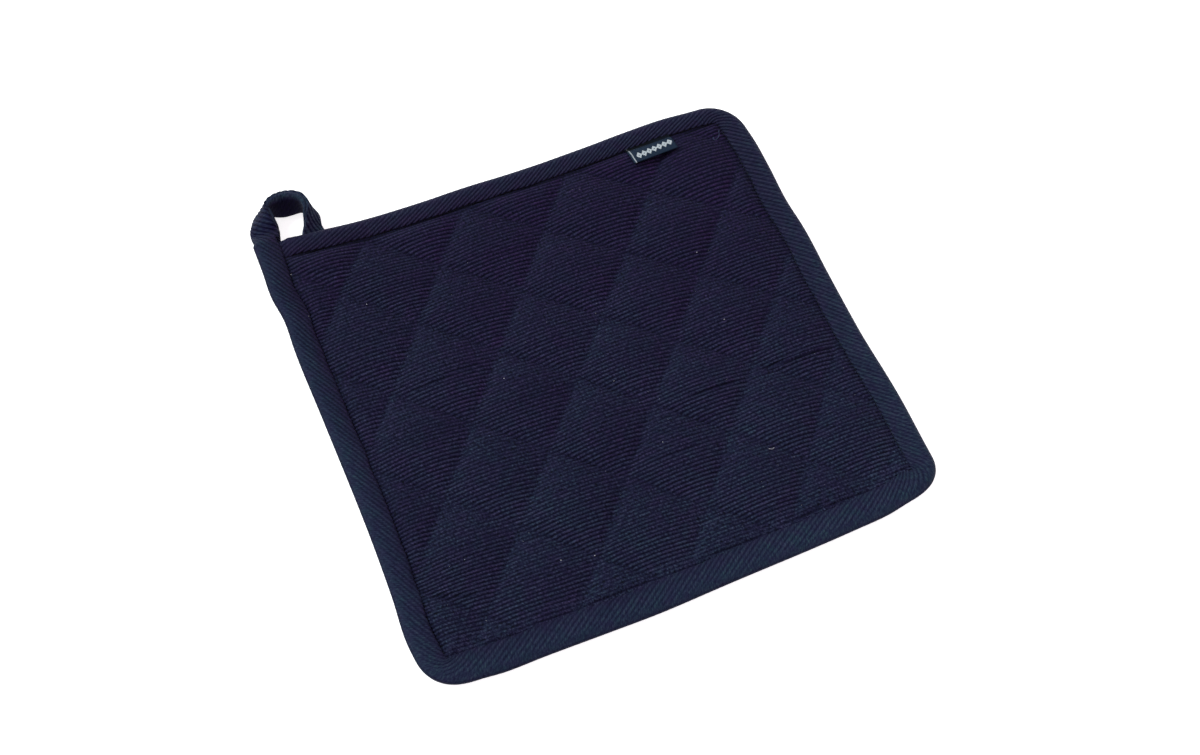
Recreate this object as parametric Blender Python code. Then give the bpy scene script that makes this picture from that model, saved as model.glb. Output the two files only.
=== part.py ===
"""A quilted pot holder lying face up: a padded square, a bias strip round its edge that runs
on past one corner as a hanging loop, and a small woven label in the top seam.

+X runs along the top edge, +Y from the centre to the top edge, +Z up. The origin is the centre
of the pad on the surface that it lies on. Sizes are in millimetres, and MM turns them into
metres when a mesh is made.
"""

import math

import bmesh
import bpy
import numpy as np

MM = 0.001
COLLECTION = "Pot holder"
CUTTERS = "Cutters"

# Outline, measured outside the binding.
PAD_WIDTH = 213.7
PAD_HEIGHT = 199.3
HALF_W = PAD_WIDTH / 2
HALF_H = PAD_HEIGHT / 2
CORNER_RADIUS = {"top_right": 17.0, "bottom_right": 16.0, "bottom_left": 19.0, "top_left": 7.0}
SEAM_CORNER_RADIUS = 3.0
LEAST_RADIUS = 1.0

# Steps along each side and round each corner, closer where the strip crosses its own start.
SIDE_STEPS = 27
CORNER_STEPS = 7
CROSSED_SHARE = 0.12
CROSSED_STEPS = 9

# How far each side stands out from a straight line: (place along the side, outward).
SIDE_WAVES = {
    "top": [(-107, 1.4), (-92, 1.2), (-78, 0.5), (-60, 0.3), (-35, 0.0), (0, -0.3), (33, 0.0), (57, 0.9),
            (74, 1.2), (92, 0.3), (107, 0.0)],
    "right": [(-100, 0.0), (-78, -0.1), (-55, 0.4), (-25, -0.6), (5, -0.2), (30, 0.4), (43, -0.4),
              (62, 0.3), (76, 0.6), (100, 0.0)],
    "bottom": [(-107, 0.0), (-90, -1.0), (-64, -0.9), (-40, -0.1), (-20, 0.4), (10, 0.1), (65, -0.6),
               (92, -1.0), (107, 0.0)],
    "left": [(-100, 0.4), (-75, 1.4), (-57, 0.3), (-40, 0.0), (20, 0.0), (60, -0.1), (69, -0.3),
             (81, 1.1), (90, 0.4), (104, 0.4)],
}

# The bias strip: its width on each face of the pad and its heights from the edge's middle.
BINDING_WIDTH = 10.5
EDGE_MIDDLE = 2.8
STRIP_OUTER = 2.8
STRIP_INNER = 1.5
STRIP_WALL = 1.5
# Where the strip starts, pressed thin, and where its end lies over that start.
START_X = -104.8
THIN_TO_X = -96.0
THIN_OVER = 2.5
THIN_OUTER = 1.6
THIN_INNER = 0.9
THIN_FOLD = 0.8
END_Y = 102.2
WIDE_FROM_Y = 84.0
WIDE_OVER = 4.0
WIDE_OUTER = 2.9
WIDE_INNER = 1.9

# The pad inside the strip: a flat tongue, pressed thinner under the crossed strips.
TONGUE_INSET = 1.9
TONGUE_REACH = 13.5
TONGUE_HALF = 1.1
TONGUE_HALF_THIN = 0.6
BODY_INSET = 10.9

# Quilting: two sets of straight stitch lines. Each row is (where the line crosses the set's own
# normal through the pad's centre, the line's angle in degrees).
LINES_DOWN_NORMAL = 46.5
LINES_DOWN = [(-175.0, -44.0), (-142.0, -44.0), (-109.3, -44.3), (-72.2, -44.8), (-38.7, -43.4),
              (-5.6, -43.7), (24.3, -41.9), (56.4, -40.1), (89.1, -38.4), (122.0, -40.0), (156.0, -42.0)]
LINES_UP_NORMAL = 138.2
LINES_UP = [(173.0, 50.0), (140.0, 50.0), (107.6, 50.3), (74.4, 50.7), (39.7, 49.7), (6.5, 47.7),
            (-25.3, 47.7), (-57.6, 48.2), (-88.8, 50.5), (-120.0, 50.0), (-151.0, 49.0)]
FACE_STEPS = [0.0, 0.055, 0.15, 0.31, 0.5, 0.69, 0.85, 0.945, 1.0]
BACK_STEPS = [0.0, 0.09, 0.5, 0.91, 1.0]
TROUGH_FACE = 4.3
PUFF_RISE = 3.4
PUFF_FULLNESS = 0.55
PUFF_UNEVENNESS = (0.88, 1.06)
PUFF_SEED = 11
TROUGH_BACK = 1.2
SEAM_RUN = 3.5

# The loop's tail lies under the top-left corner and lifts it.
LIFT = 4.2
LIFT_FULL_X = -84.0
LIFT_RUN_X = 42.0
LIFT_FULL_Y = 88.0
LIFT_RUN_Y = 46.0

# The hanging loop's strap, from the end of the binding round to its tail. Its roll is 0 face up
# and 90 on edge, face outwards. Columns: x, y, z of its middle, roll, width, thickness.
LOOP_STATIONS = [
    (-101.6, 102.6, 7.0, 0, 10.6, 5.2),
    (-101.6, 106.0, 7.0, 12, 10.9, 3.0),
    (-100.3, 111.2, 6.9, 40, 11.6, 2.4),
    (-96.3, 116.2, 6.8, 80, 12.2, 2.4),
    (-89.4, 118.1, 6.9, 104, 12.2, 2.4),
    (-83.0, 115.8, 6.7, 98, 12.2, 2.4),
    (-81.0, 110.9, 6.0, 72, 11.2, 2.4),
    (-81.7, 105.4, 4.9, 48, 9.8, 2.4),
    (-82.4, 100.0, 2.5, 14, 9.6, 2.4),
    (-82.6, 95.5, 1.5, 0, 9.8, 2.4),
    (-82.6, 90.5, 1.4, 0, 9.8, 2.4),
]
LOOP_STEPS = 58

# The section of a strap one unit wide and one unit thick: (across, through the cloth).
STRAP_SECTION = [(0.5, 0.26), (0.43, 0.5), (0.0, 0.5), (-0.43, 0.5), (-0.5, 0.26),
                 (-0.5, -0.26), (-0.43, -0.5), (0.0, -0.5), (0.43, -0.5), (0.5, -0.26)]

# The label: a folded woven tab caught in the top seam.
LABEL_LEFT = 53.0
LABEL_WIDTH = 21.0
LABEL_START = 0.2
LABEL_LENGTH = 8.0
LABEL_THICK = 0.7
LABEL_TILT = 3.0
LABEL_CLEARANCE = 0.4
LABEL_FREE_RISE = 1.0

RIBBED_NAVY = (0.0135, 0.0140, 0.0330)
BINDING_NAVY = (0.0160, 0.0200, 0.0400)
LABEL_NAVY = (0.0120, 0.0160, 0.0420)


def ramp(t):
    """A smooth step from 0 at t = 0 to 1 at t = 1."""
    t = np.clip(t, 0.0, 1.0)
    return 0.5 - 0.5 * np.cos(math.pi * t)


def through(rows, at):
    """A smooth curve through (place, value, ...) rows, read at the places given."""
    rows = np.array(rows, float)
    place, value = rows[:, 0], rows[:, 1:]
    slope = np.gradient(value, place, axis=0)
    at = np.clip(np.atleast_1d(np.asarray(at, float)), place[0], place[-1])
    k = np.clip(np.searchsorted(place, at, side="right") - 1, 0, len(place) - 2)
    step = (place[k + 1] - place[k])[:, None]
    t = ((at - place[k])[:, None]) / step
    return (
        (2 * t**3 - 3 * t**2 + 1) * value[k]
        + (t**3 - 2 * t**2 + t) * step * slope[k]
        + (3 * t**2 - 2 * t**3) * value[k + 1]
        + (t**3 - t**2) * step * slope[k + 1]
    )


def lift(x, y):
    """How far the pad is raised from the surface at a place."""
    across = 1.0 - ramp((np.asarray(x) - LIFT_FULL_X) / LIFT_RUN_X)
    along = 1.0 - ramp((LIFT_FULL_Y - np.asarray(y)) / LIFT_RUN_Y)
    return LIFT * across**2 * along


def side_points(side, fraction, inset, first, last):
    """Points along one side, from first to last, at an inset from the folded edge."""
    along = first + (last - first) * fraction
    outward = through(SIDE_WAVES[side], along)[:, 0] - inset
    if side in ("top", "bottom"):
        sign = 1 if side == "top" else -1
        return np.column_stack([along, sign * (HALF_H + outward)])
    sign = 1 if side == "right" else -1
    return np.column_stack([sign * (HALF_W + outward), along])


def corner_radius(corner, inset):
    """A corner's radius at an inset: large at the folded edge, nearly square at the seam."""
    blend = inset / BINDING_WIDTH
    return max(CORNER_RADIUS[corner] * (1 - blend) + SEAM_CORNER_RADIUS * blend, LEAST_RADIUS)


def corner_points(corner, inset, count):
    """Points round one corner, clockwise, without the points where it meets its sides."""
    sign_x = 1 if "right" in corner else -1
    sign_y = 1 if "top" in corner else -1
    radius = corner_radius(corner, inset)
    centre = np.array([sign_x * (HALF_W - inset - radius), sign_y * (HALF_H - inset - radius)])
    start = {"top_right": 90, "bottom_right": 0, "bottom_left": -90, "top_left": 180}[corner]
    angle = np.radians(start - 90 * np.arange(1, count) / count)
    points = centre + radius * np.column_stack([np.cos(angle), np.sin(angle)])
    vertical, horizontal = corner.split("_")
    wave_y = through(SIDE_WAVES[vertical], points[:, 0])[:, 0]
    wave_x = through(SIDE_WAVES[horizontal], points[:, 1])[:, 0]
    points[:, 0] += sign_x * wave_x * np.cos(angle) ** 2
    points[:, 1] += sign_y * wave_y * np.sin(angle) ** 2
    return points


def edge_path(inset, closed):
    """The path round the pad at an inset from the folded edge, clockwise from the top left.

    The open path starts square at START_X and ends square at END_Y, as the strip does.
    """
    def reach(half, corner):
        return half - inset - corner_radius(corner, inset)

    crossed = np.linspace(0, CROSSED_SHARE, CROSSED_STEPS)
    side = np.concatenate([crossed[:-1], np.linspace(CROSSED_SHARE, 1, SIDE_STEPS)])
    plain = np.linspace(0, 1, SIDE_STEPS)
    top_from = -reach(HALF_W, "top_left") if closed else START_X
    left_to = reach(HALF_H, "top_left") if closed else END_Y
    runs = [
        side_points("top", side, inset, top_from, reach(HALF_W, "top_right")),
        corner_points("top_right", inset, CORNER_STEPS),
        side_points("right", plain, inset, reach(HALF_H, "top_right"), -reach(HALF_H, "bottom_right")),
        corner_points("bottom_right", inset, CORNER_STEPS),
        side_points("bottom", plain, inset, reach(HALF_W, "bottom_right"), -reach(HALF_W, "bottom_left")),
        corner_points("bottom_left", inset, CORNER_STEPS),
        side_points("left", 1 - side[::-1], inset, -reach(HALF_H, "bottom_left"), left_to),
    ]
    if closed:
        runs.append(corner_points("top_left", inset, CORNER_STEPS))
    return np.concatenate(runs)


def strip_section(outer, inner, fold):
    """The strip's C-shaped section as (inset from the folded edge, height from its middle)."""
    width = BINDING_WIDTH
    back = [(width, -inner), (width, -0.86 * outer), (0.95 * width, -outer), (0.30 * width, -outer),
            (fold + 1.3, -0.79 * outer), (fold + 0.4, -0.43 * outer), (fold, 0.0)]
    face = [(fold + 0.4, 0.43 * outer), (fold + 1.3, 0.79 * outer), (0.30 * width, 0.97 * outer),
            (0.57 * width, outer), (0.82 * width, 0.95 * outer), (width, 0.82 * outer), (width, inner),
            (STRIP_WALL, inner), (STRIP_WALL, -inner)]
    return back + face


def new_object(name, mesh_builder, colour, roughness, collection=COLLECTION):
    """Makes an object in metres from a bmesh in millimetres."""
    bmesh.ops.remove_doubles(mesh_builder, verts=mesh_builder.verts, dist=0.001)
    bmesh.ops.recalc_face_normals(mesh_builder, faces=mesh_builder.faces)
    bmesh.ops.scale(mesh_builder, vec=(MM, MM, MM), verts=mesh_builder.verts)
    mesh = bpy.data.meshes.new(name)
    mesh_builder.to_mesh(mesh)
    mesh_builder.free()
    mesh.shade_smooth()
    mesh.set_sharp_from_angle(angle=math.radians(50))
    obj = bpy.data.objects.new(name, mesh)
    bpy.data.collections[collection].objects.link(obj)
    if colour is not None:
        mesh.materials.append(cloth_material(name, colour, roughness))
    return obj


def cloth_material(name, colour, roughness):
    material = bpy.data.materials.new(name)
    material.use_nodes = True
    shader = material.node_tree.nodes["Principled BSDF"]
    shader.inputs["Base Color"].default_value = (*colour, 1.0)
    shader.inputs["Roughness"].default_value = roughness
    shader.inputs["Metallic"].default_value = 0.0
    return material


def loft(rings, closed):
    """A solid through rings of points; an open run of rings gets a cap at each end."""
    builder = bmesh.new()
    verts = [[builder.verts.new(point) for point in ring] for ring in rings]
    size = len(verts[0])
    pairs = list(zip(verts, verts[1:]))
    if closed:
        pairs.append((verts[-1], verts[0]))
    for ring, after in pairs:
        for k in range(size):
            builder.faces.new((ring[k], ring[(k + 1) % size], after[(k + 1) % size], after[k]))
    if not closed:
        builder.faces.new(verts[0])
        builder.faces.new(verts[-1][::-1])
    return builder


def make_binding():
    """The bias strip: its C section carried round the edge, thin at its start, wide at its end."""
    outer_path = edge_path(0.0, closed=False)
    seam_path = edge_path(BINDING_WIDTH, closed=False)
    count = len(outer_path)
    rings = []
    for k, (edge, seam) in enumerate(zip(outer_path, seam_path)):
        outer, inner, fold = STRIP_OUTER, STRIP_INNER, 0.0
        if k < count / 4:
            thin = 1 - ramp((edge[0] - THIN_TO_X) / THIN_OVER)
            outer += (THIN_OUTER - outer) * thin
            inner += (THIN_INNER - inner) * thin
            fold += THIN_FOLD * thin
        elif k > 3 * count / 4:
            wide = ramp((edge[1] - WIDE_FROM_Y) / WIDE_OVER)
            outer += (WIDE_OUTER - outer) * wide
            inner += (WIDE_INNER - inner) * wide
        ring = []
        for inset, height in strip_section(outer, inner, fold):
            x, y = edge + (seam - edge) * inset / BINDING_WIDTH
            ring.append((x, y, EDGE_MIDDLE + height + lift(x, y)))
        rings.append(ring)
    return new_object("binding", loft(rings, closed=False), BINDING_NAVY, 0.9)


def line_rows(rows, normal_angle):
    """Each stitch line as (point, unit normal)."""
    axis = np.array([math.cos(math.radians(normal_angle)), math.sin(math.radians(normal_angle))])
    lines = []
    for offset, angle in rows:
        turn = math.radians(angle + 90)
        lines.append((axis * offset, np.array([math.cos(turn), math.sin(turn)])))
    return lines


def band_of(points, lines):
    """The band between two stitch lines that each point is in, and how far across it is."""
    away = np.array([(points - at) @ normal for at, normal in lines])
    if away[0].mean() < away[-1].mean():
        away = -away
    band = np.clip((away >= 0).sum(axis=0) - 1, 0, len(lines) - 2)
    pick = np.arange(len(points))
    before, after = away[band, pick], away[band + 1, pick]
    return band, np.clip(before / (before - after), 0.0, 1.0)


def crossing(first, second):
    """Where two lines cross."""
    rows = np.array([first[1], second[1]])
    return np.linalg.solve(rows, [first[0] @ first[1], second[0] @ second[1]])


def between(lines, band, share):
    """The line that lies a share of the way from one stitch line to the next."""
    (at_a, normal_a), (at_b, normal_b) = lines[band], lines[band + 1]
    normal = normal_a * (1 - share) + normal_b * share
    return at_a * (1 - share) + at_b * share, normal / np.linalg.norm(normal)


def lattice_grid(steps):
    """Grid points that follow the stitch lines, with the given steps across each diamond."""
    down = line_rows(LINES_DOWN, LINES_DOWN_NORMAL)
    up = line_rows(LINES_UP, LINES_UP_NORMAL)
    places = [(band, share) for band in range(len(down) - 1) for share in steps[:-1]]
    places.append((len(down) - 2, 1.0))
    rows = [between(down, band, share) for band, share in places]
    columns = [between(up, band, share) for band, share in places]
    return [[crossing(row, column) for column in columns] for row in rows]


def inside_distance(points, path):
    """The distance from each point to a closed path."""
    a = path
    b = np.roll(path, -1, axis=0)
    along = b - a
    length = (along**2).sum(axis=1)
    nearest = np.full(len(points), np.inf)
    for start, run, squared in zip(a, along, length):
        t = np.clip((points - start) @ run / squared, 0, 1)
        nearest = np.minimum(nearest, np.linalg.norm(points - start - t[:, None] * run, axis=1))
    return nearest


def diamond_fill(points):
    """How full the quilting is at each point, 0 on a stitch line and 1 in mid diamond: first
    with each diamond a little fuller or flatter than the rest, then even."""
    band_a, share_a = band_of(points, line_rows(LINES_DOWN, LINES_DOWN_NORMAL))
    band_b, share_b = band_of(points, line_rows(LINES_UP, LINES_UP_NORMAL))
    swell = (16 * share_a * (1 - share_a) * share_b * (1 - share_b)) ** PUFF_FULLNESS
    low, high = PUFF_UNEVENNESS
    random = np.random.default_rng(PUFF_SEED)
    size = random.uniform(low, high, (len(LINES_DOWN), len(LINES_UP)))
    return swell * size[band_a, band_b], swell


def face_height(points):
    """The quilted face's height at each point inside the seam."""
    fill, _ = diamond_fill(points)
    away = inside_distance(points, edge_path(BODY_INSET, closed=True))
    rise = PUFF_RISE * fill * (1 - np.exp(-away / SEAM_RUN))
    return TROUGH_FACE + rise + lift(points[:, 0], points[:, 1])


def back_height(points):
    """The back's height at each point: flat on the surface, hollow under the stitch lines."""
    _, swell = diamond_fill(points)
    away = inside_distance(points, edge_path(BODY_INSET, closed=True))
    pressed = np.minimum(ramp(away / SEAM_RUN), ramp(swell / 0.25))
    return TROUGH_BACK * (1 - pressed) + lift(points[:, 0], points[:, 1])


def make_slab():
    """A flat slab of height 1 whose face and back are gridded along the stitch lines."""
    builder = bmesh.new()
    grids = []
    for steps, height in ((FACE_STEPS, 1.0), (BACK_STEPS, 0.0)):
        grid = [[builder.verts.new((*point, height)) for point in row] for row in lattice_grid(steps)]
        for row, after in zip(grid, grid[1:]):
            for k in range(len(row) - 1):
                builder.faces.new((row[k], row[k + 1], after[k + 1], after[k]))
        grids.append(grid)
    face, back = grids
    for turned in (False, True):
        sides = [list(zip(*grid)) if turned else grid for grid in (face, back)]
        for end in (0, -1):
            builder.faces.new(list(sides[0][end]) + list(sides[1][end])[::-1])
    return new_object("quilted_pad", builder, RIBBED_NAVY, 0.95)


def make_prism(path):
    """A cutter: the path's outline as a prism round the slab."""
    rings = [[(x, y, z) for x, y in path] for z in (-1.0, 2.0)]
    cutter = new_object("seam_outline", loft(rings, closed=False), None, 0.0, CUTTERS)
    hide_cutter(cutter)
    return cutter


def make_tongue():
    """A cutter: the flat edge of the pad that lies inside the strip."""
    rings = []
    for edge, inner in zip(edge_path(TONGUE_INSET, closed=True), edge_path(TONGUE_REACH, closed=True)):
        ring = []
        for (x, y), side in ((edge, 1), (edge, -1), (inner, -1), (inner, 1)):
            crossed = (1 - ramp((x - THIN_TO_X - 0.5) / 4.0)) * ramp((y - WIDE_FROM_Y) / WIDE_OVER)
            half = TONGUE_HALF + (TONGUE_HALF_THIN - TONGUE_HALF) * crossed
            ring.append((x, y, EDGE_MIDDLE + side * half + lift(x, y)))
        rings.append(ring)
    tongue = new_object("pad_tongue", loft(rings, closed=True), None, 0.0, CUTTERS)
    hide_cutter(tongue)
    return tongue


def hide_cutter(obj):
    obj.hide_render = True
    obj.display_type = "WIRE"


def cut(obj, other, operation):
    """Applies a Boolean to an object, so that its points can be moved afterwards."""
    modifier = obj.modifiers.new(operation.lower(), "BOOLEAN")
    modifier.operation = operation
    modifier.object = other
    modifier.solver = "EXACT"
    graph = bpy.context.evaluated_depsgraph_get()
    mesh = bpy.data.meshes.new_from_object(obj.evaluated_get(graph))
    obj.modifiers.clear()
    before = obj.data
    obj.data = mesh
    bpy.data.meshes.remove(before)


def make_pad():
    """The quilted pad: a gridded slab cut to the seam, raised into diamonds, joined to its edge."""
    pad = make_slab()
    cut(pad, make_prism(edge_path(BODY_INSET, closed=True)), "INTERSECT")
    verts = pad.data.vertices
    flat = np.array([vert.co[:] for vert in verts]) / MM
    face, back = face_height(flat[:, :2]), back_height(flat[:, :2])
    for vert, (_, _, level), high, low in zip(verts, flat, face, back):
        vert.co.z = (high if level > 0.5 else low) * MM
    pad.data.update()
    cut(pad, make_tongue(), "UNION")
    return pad


def make_loop():
    """The hanging loop: a folded strap that turns on edge round the loop and tucks under."""
    rows = np.array(LOOP_STATIONS, float)
    run = np.concatenate([[0], np.cumsum(np.linalg.norm(np.diff(rows[:, :3], axis=0), axis=1))])
    table = np.column_stack([run, rows])
    places = np.linspace(0, run[-1], LOOP_STEPS)
    stations = through(table, places)
    ahead = np.gradient(stations[:, :3], axis=0)
    ahead[0] = ahead[-1] = 0
    ahead[0][1], ahead[-1][1] = 1, -1
    rings = []
    for (x, y, z, roll, width, thick), along in zip(stations, ahead):
        along = along / np.linalg.norm(along)
        outward = np.array([-along[1], along[0], 0.0])
        outward /= np.linalg.norm(outward)
        up = np.cross(along, outward)
        up *= math.copysign(1, up[2])
        turn = math.radians(roll)
        face = math.cos(turn) * up + math.sin(turn) * outward
        rim = np.cross(along, face)
        ring = []
        for across, through_cloth in STRAP_SECTION:
            ring.append(np.array([x, y, z]) + across * width * rim + through_cloth * thick * face)
        rings.append(ring)
    return new_object("hanging_loop", loft(rings, closed=False), BINDING_NAVY, 0.9)


def make_label():
    """The woven label: a flat folded tab that leaves the seam and lies on the quilting."""
    across = np.linspace(0, LABEL_WIDTH, 9)
    drift = math.sin(math.radians(LABEL_TILT)) * LABEL_LENGTH
    rings = []
    height = 0.0
    for step in np.linspace(0, 1, 7):
        x = LABEL_LEFT + across + drift * step
        seam = HALF_H + through(SIDE_WAVES["top"], x)[:, 0] - BODY_INSET
        points = np.column_stack([x, seam - LABEL_START - LABEL_LENGTH * step])
        height = max(height, face_height(points).max())
        low = height + LABEL_CLEARANCE + LABEL_FREE_RISE * step**2
        lower = [(x, y, low) for x, y in points]
        upper = [(x, y, low + LABEL_THICK) for x, y in points[::-1]]
        rings.append(lower + upper)
    return new_object("label", loft(rings, closed=False), LABEL_NAVY, 0.6)


def clear_scene():
    for obj in list(bpy.data.objects):
        bpy.data.objects.remove(obj, do_unlink=True)
    for name in (COLLECTION, CUTTERS):
        bpy.context.scene.collection.children.link(bpy.data.collections.new(name))


def main():
    clear_scene()
    make_pad()
    make_binding()
    make_loop()
    make_label()


if __name__ == "__main__":
    main()
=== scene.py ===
"""The looks of a quilted pot holder: a pad of coarse ribbed cloth, quilted in diamonds, a bias
strip round its edge that runs on as a hanging loop, and a woven label in the top seam.

+X runs along the top edge, +Y from the centre to the top edge, +Z up. Sizes below are in
millimetres, as the solids' own are, and MM turns them into metres when a mesh is made.
"""

import math

import bmesh
import bpy
import numpy as np
from mathutils.bvhtree import BVHTree
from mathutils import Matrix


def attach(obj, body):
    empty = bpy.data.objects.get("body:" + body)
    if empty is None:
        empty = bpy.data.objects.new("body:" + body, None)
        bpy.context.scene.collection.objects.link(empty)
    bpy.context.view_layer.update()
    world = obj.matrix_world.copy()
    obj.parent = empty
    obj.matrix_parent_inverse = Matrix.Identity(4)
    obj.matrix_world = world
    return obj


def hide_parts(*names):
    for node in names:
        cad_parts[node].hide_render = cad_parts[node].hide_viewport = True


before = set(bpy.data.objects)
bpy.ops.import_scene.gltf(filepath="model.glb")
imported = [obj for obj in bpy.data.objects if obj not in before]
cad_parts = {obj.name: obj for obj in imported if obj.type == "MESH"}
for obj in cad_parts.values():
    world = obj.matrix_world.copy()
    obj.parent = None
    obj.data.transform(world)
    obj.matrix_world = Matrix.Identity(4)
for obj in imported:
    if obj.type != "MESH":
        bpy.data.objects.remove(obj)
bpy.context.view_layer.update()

bl_info = {
    "name": "Quilted pot holder",
    "version": (1, 0, 0),
    "blender": (4, 5, 0),
    "location": "3D View > Sidebar > Pot holder",
    "description": "Dresses a quilted pot holder in ribbed cloth, with its strip, label and stitches",
    "category": "Add Mesh",
}

MM = 0.001
BODY = "root"

# Outline, measured outside the strip, and how far each side stands out from a straight line:
# (place along the side, outward).
HALF_W = 213.7 / 2
HALF_H = 199.3 / 2
CORNERS = ("top_right", "bottom_right", "bottom_left")
CORNER_RADIUS = {"top_right": 15.5, "bottom_right": 16.0, "bottom_left": 17.0}
CORNER_START = {"top_right": 90, "bottom_right": 0, "bottom_left": -90}
SEAM_CORNER_RADIUS = 3.0
SIDE_WAVES = {
    "top": [(-107, 2.4), (-97, 2.2), (-91, 1.3), (-84, 0.5), (-76, 0.2), (-60, 0.5), (-35, 0.15),
            (-12, 0.2), (0, -0.3), (33, 0.0), (57, 0.9), (74, 1.2), (88, 0.2), (107, -0.3)],
    "right": [(-100, 0.0), (-78, 0.3), (-55, 0.8), (-25, -0.2), (5, 0.2), (30, 0.8), (43, 0.1),
              (62, 0.8), (76, 0.9), (86, 0.2), (100, -0.3)],
    "bottom": [(-107, -1.8), (-90, -2.1), (-80, -1.0), (-64, -0.7), (-40, 0.1), (-20, 0.7),
               (10, 0.3), (65, -0.4), (80, -1.0), (92, -2.8), (107, -3.4)],
    "left": [(-100, 0.0), (-86, 0.9), (-75, 1.8), (-57, 0.7), (-40, 0.1), (20, 0.1), (54, 0.4),
             (67, 0.0), (78, 1.4), (90, 1.0), (104, 0.8)],
}

# The strip's usual width on a face, its width along each side, and how unevenly its seam runs.
BINDING_WIDTH = 10.5
SEAM_INSET = {"top": 9.3, "right": 10.9, "bottom": 11.3, "left": 10.1}
SEAM_WOBBLE = 0.22
SEAM_WOBBLE_LENGTH = 14.0
SEAM_WOBBLE_SEED = {"top": 3, "right": 5, "bottom": 6, "left": 4}

# The strip's section: heights of its outside and of its hollow from the edge's middle, how far in
# from the edge its fold bends, against that height, and how unevenly its face swells.
EDGE_MIDDLE = 2.8
STRIP_OUTER = 2.8
STRIP_INNER = 1.5
FOLD_ROUND = 1.35
FOLD_STEPS = 9
FOLD_FULLNESS = 0.85
STRIP_SWELL = 0.05
STRIP_SWELL_LENGTH = 22.0
STRIP_SWELL_SEED = 2
# Past the fold: (share of the flat, share of the height).
STRIP_FLAT = [(0.17, 1.0), (0.34, 1.0), (0.51, 0.995), (0.68, 0.98), (0.83, 0.95), (0.93, 0.89),
              (0.985, 0.79), (1.0, 0.66)]
# The hollow, from the face's lip round to the back's: (share of the bend, of the flat, side).
STRIP_HOLLOW = [(1, 1.0, 1), (1, 0.45, 1), (0.7, 0.0, 1), (0.7, 0.0, -1), (1, 0.45, -1), (1, 1.0, -1)]

# The strip's thin start and its wide end at the loop.
START_X = -104.8
THIN_TO_X = -96.0
THIN_OVER = 2.5
THIN_OUTER = 1.6
THIN_INNER = 0.9
THIN_FOLD = 0.8
END_Y = 102.2
WIDE_FROM_Y = 84.0
WIDE_OVER = 4.0
WIDE_OUTER = 2.9
WIDE_INNER = 1.9

# Steps of the strip's path, the room that its slanted ribs need past its ends, how many rings of
# points one rib has, and within what distance the points and edges at its ends are merged.
SIDE_STEPS = 120
CORNER_STEPS = 24
BIAS_ROOM = 80.0
BIAS_STEPS = 6000
RING_ROOM = 2.0
STRIP_SHARES = 5
MERGE_POINTS = 0.002
MERGE_EDGES = 0.001

# The loop: x, y, z of the strap's middle, roll (0 face up, 90 on edge), width, thickness. It is
# sewn shut: its hollow narrows to LOOP_INNER over LOOP_SHUT_OVER.
LOOP_STATIONS = [
    (-101.6, 102.6, 7.0, 0, 10.6, 5.2),
    (-101.2, 106.7, 6.6, 17, 12.1, 4.0),
    (-100.9, 111.0, 7.1, 41, 13.1, 3.9),
    (-98.6, 117.3, 6.8, 68, 12.9, 3.0),
    (-90.0, 117.8, 6.6, 108, 12.6, 3.3),
    (-82.6, 115.5, 6.8, 92, 12.2, 3.6),
    (-80.3, 111.3, 6.3, 73, 12.2, 3.5),
    (-81.3, 105.4, 5.0, 47, 9.2, 2.1),
    (-82.4, 100.0, 3.2, 14, 10.8, 2.4),
    (-82.6, 95.5, 1.5, 0, 9.8, 2.4),
    (-82.6, 90.5, 1.4, 0, 9.8, 2.4),
]
LOOP_STEPS = 160
LOOP_INNER = 0.12
LOOP_SHUT_OVER = 5.0

# Quilting lines: (where the line crosses its set's own normal, the line's angle in degrees).
LINES_DOWN_NORMAL = 46.5
LINES_DOWN = [(-175.0, -44.0), (-142.0, -44.0), (-109.3, -44.3), (-72.2, -44.8), (-38.7, -43.4),
              (-5.6, -43.7), (24.3, -41.9), (56.4, -40.1), (89.1, -38.4), (122.0, -40.0), (156.0, -42.0)]
LINES_UP_NORMAL = 138.2
LINES_UP = [(173.0, 50.0), (140.0, 50.0), (107.6, 50.3), (74.4, 50.7), (39.7, 49.7), (6.5, 47.7),
            (-25.3, 47.7), (-57.6, 48.2), (-88.8, 50.5), (-120.0, 50.0), (-151.0, 49.0)]
LINE_SPACING = 32.0

# The pad's puffs: heights of its face and back at the stitch lines, and how the diamonds fill.
# The back is pressed flat this far in from the seams, and at this share of a diamond's fill.
TROUGH_FACE = 4.3
TROUGH_BACK = 1.2
PUFF_RISE = 3.4
PUFF_FULLNESS = 0.6
PUFF_SOFTNESS = 0.04
PUFF_UNEVENNESS = (0.88, 1.06)
PUFF_SEED = 11
BACK_SEAM_RUN = 3.5
BACK_LINE_RUN = 0.4

# The face beside each seam, which lies BODY_ROOM inside the strip's edge: how soon it rises, how
# far it comes up against the strip, and how it dips under it, to its own edge at HIDDEN_INSET.
BODY_ROOM = 0.4
SEAM_RUN = {"top": 2.8, "right": 2.8, "bottom": 2.4, "left": 2.8}
SEAM_LEVEL = {"top": 0.0, "right": 0.3, "bottom": 0.65, "left": 0.0}
SEAM_LEVEL_REACH = 3.0
SEAM_LEVEL_FROM = -1.2
SEAM_LEVEL_RUN = 0.6
HIDDEN_INSET = 7.0
HIDDEN_ROOM = 3.0
TUCK_DEPTH = 0.8
TUCK_FROM = -0.7
TUCK_RUN = 1.8

# The corner that is lifted over the loop's tail.
LIFT = 4.2
LIFT_FULL_X = -84.0
LIFT_RUN_X = 42.0
LIFT_FULL_Y = 88.0
LIFT_RUN_Y = 46.0

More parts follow.
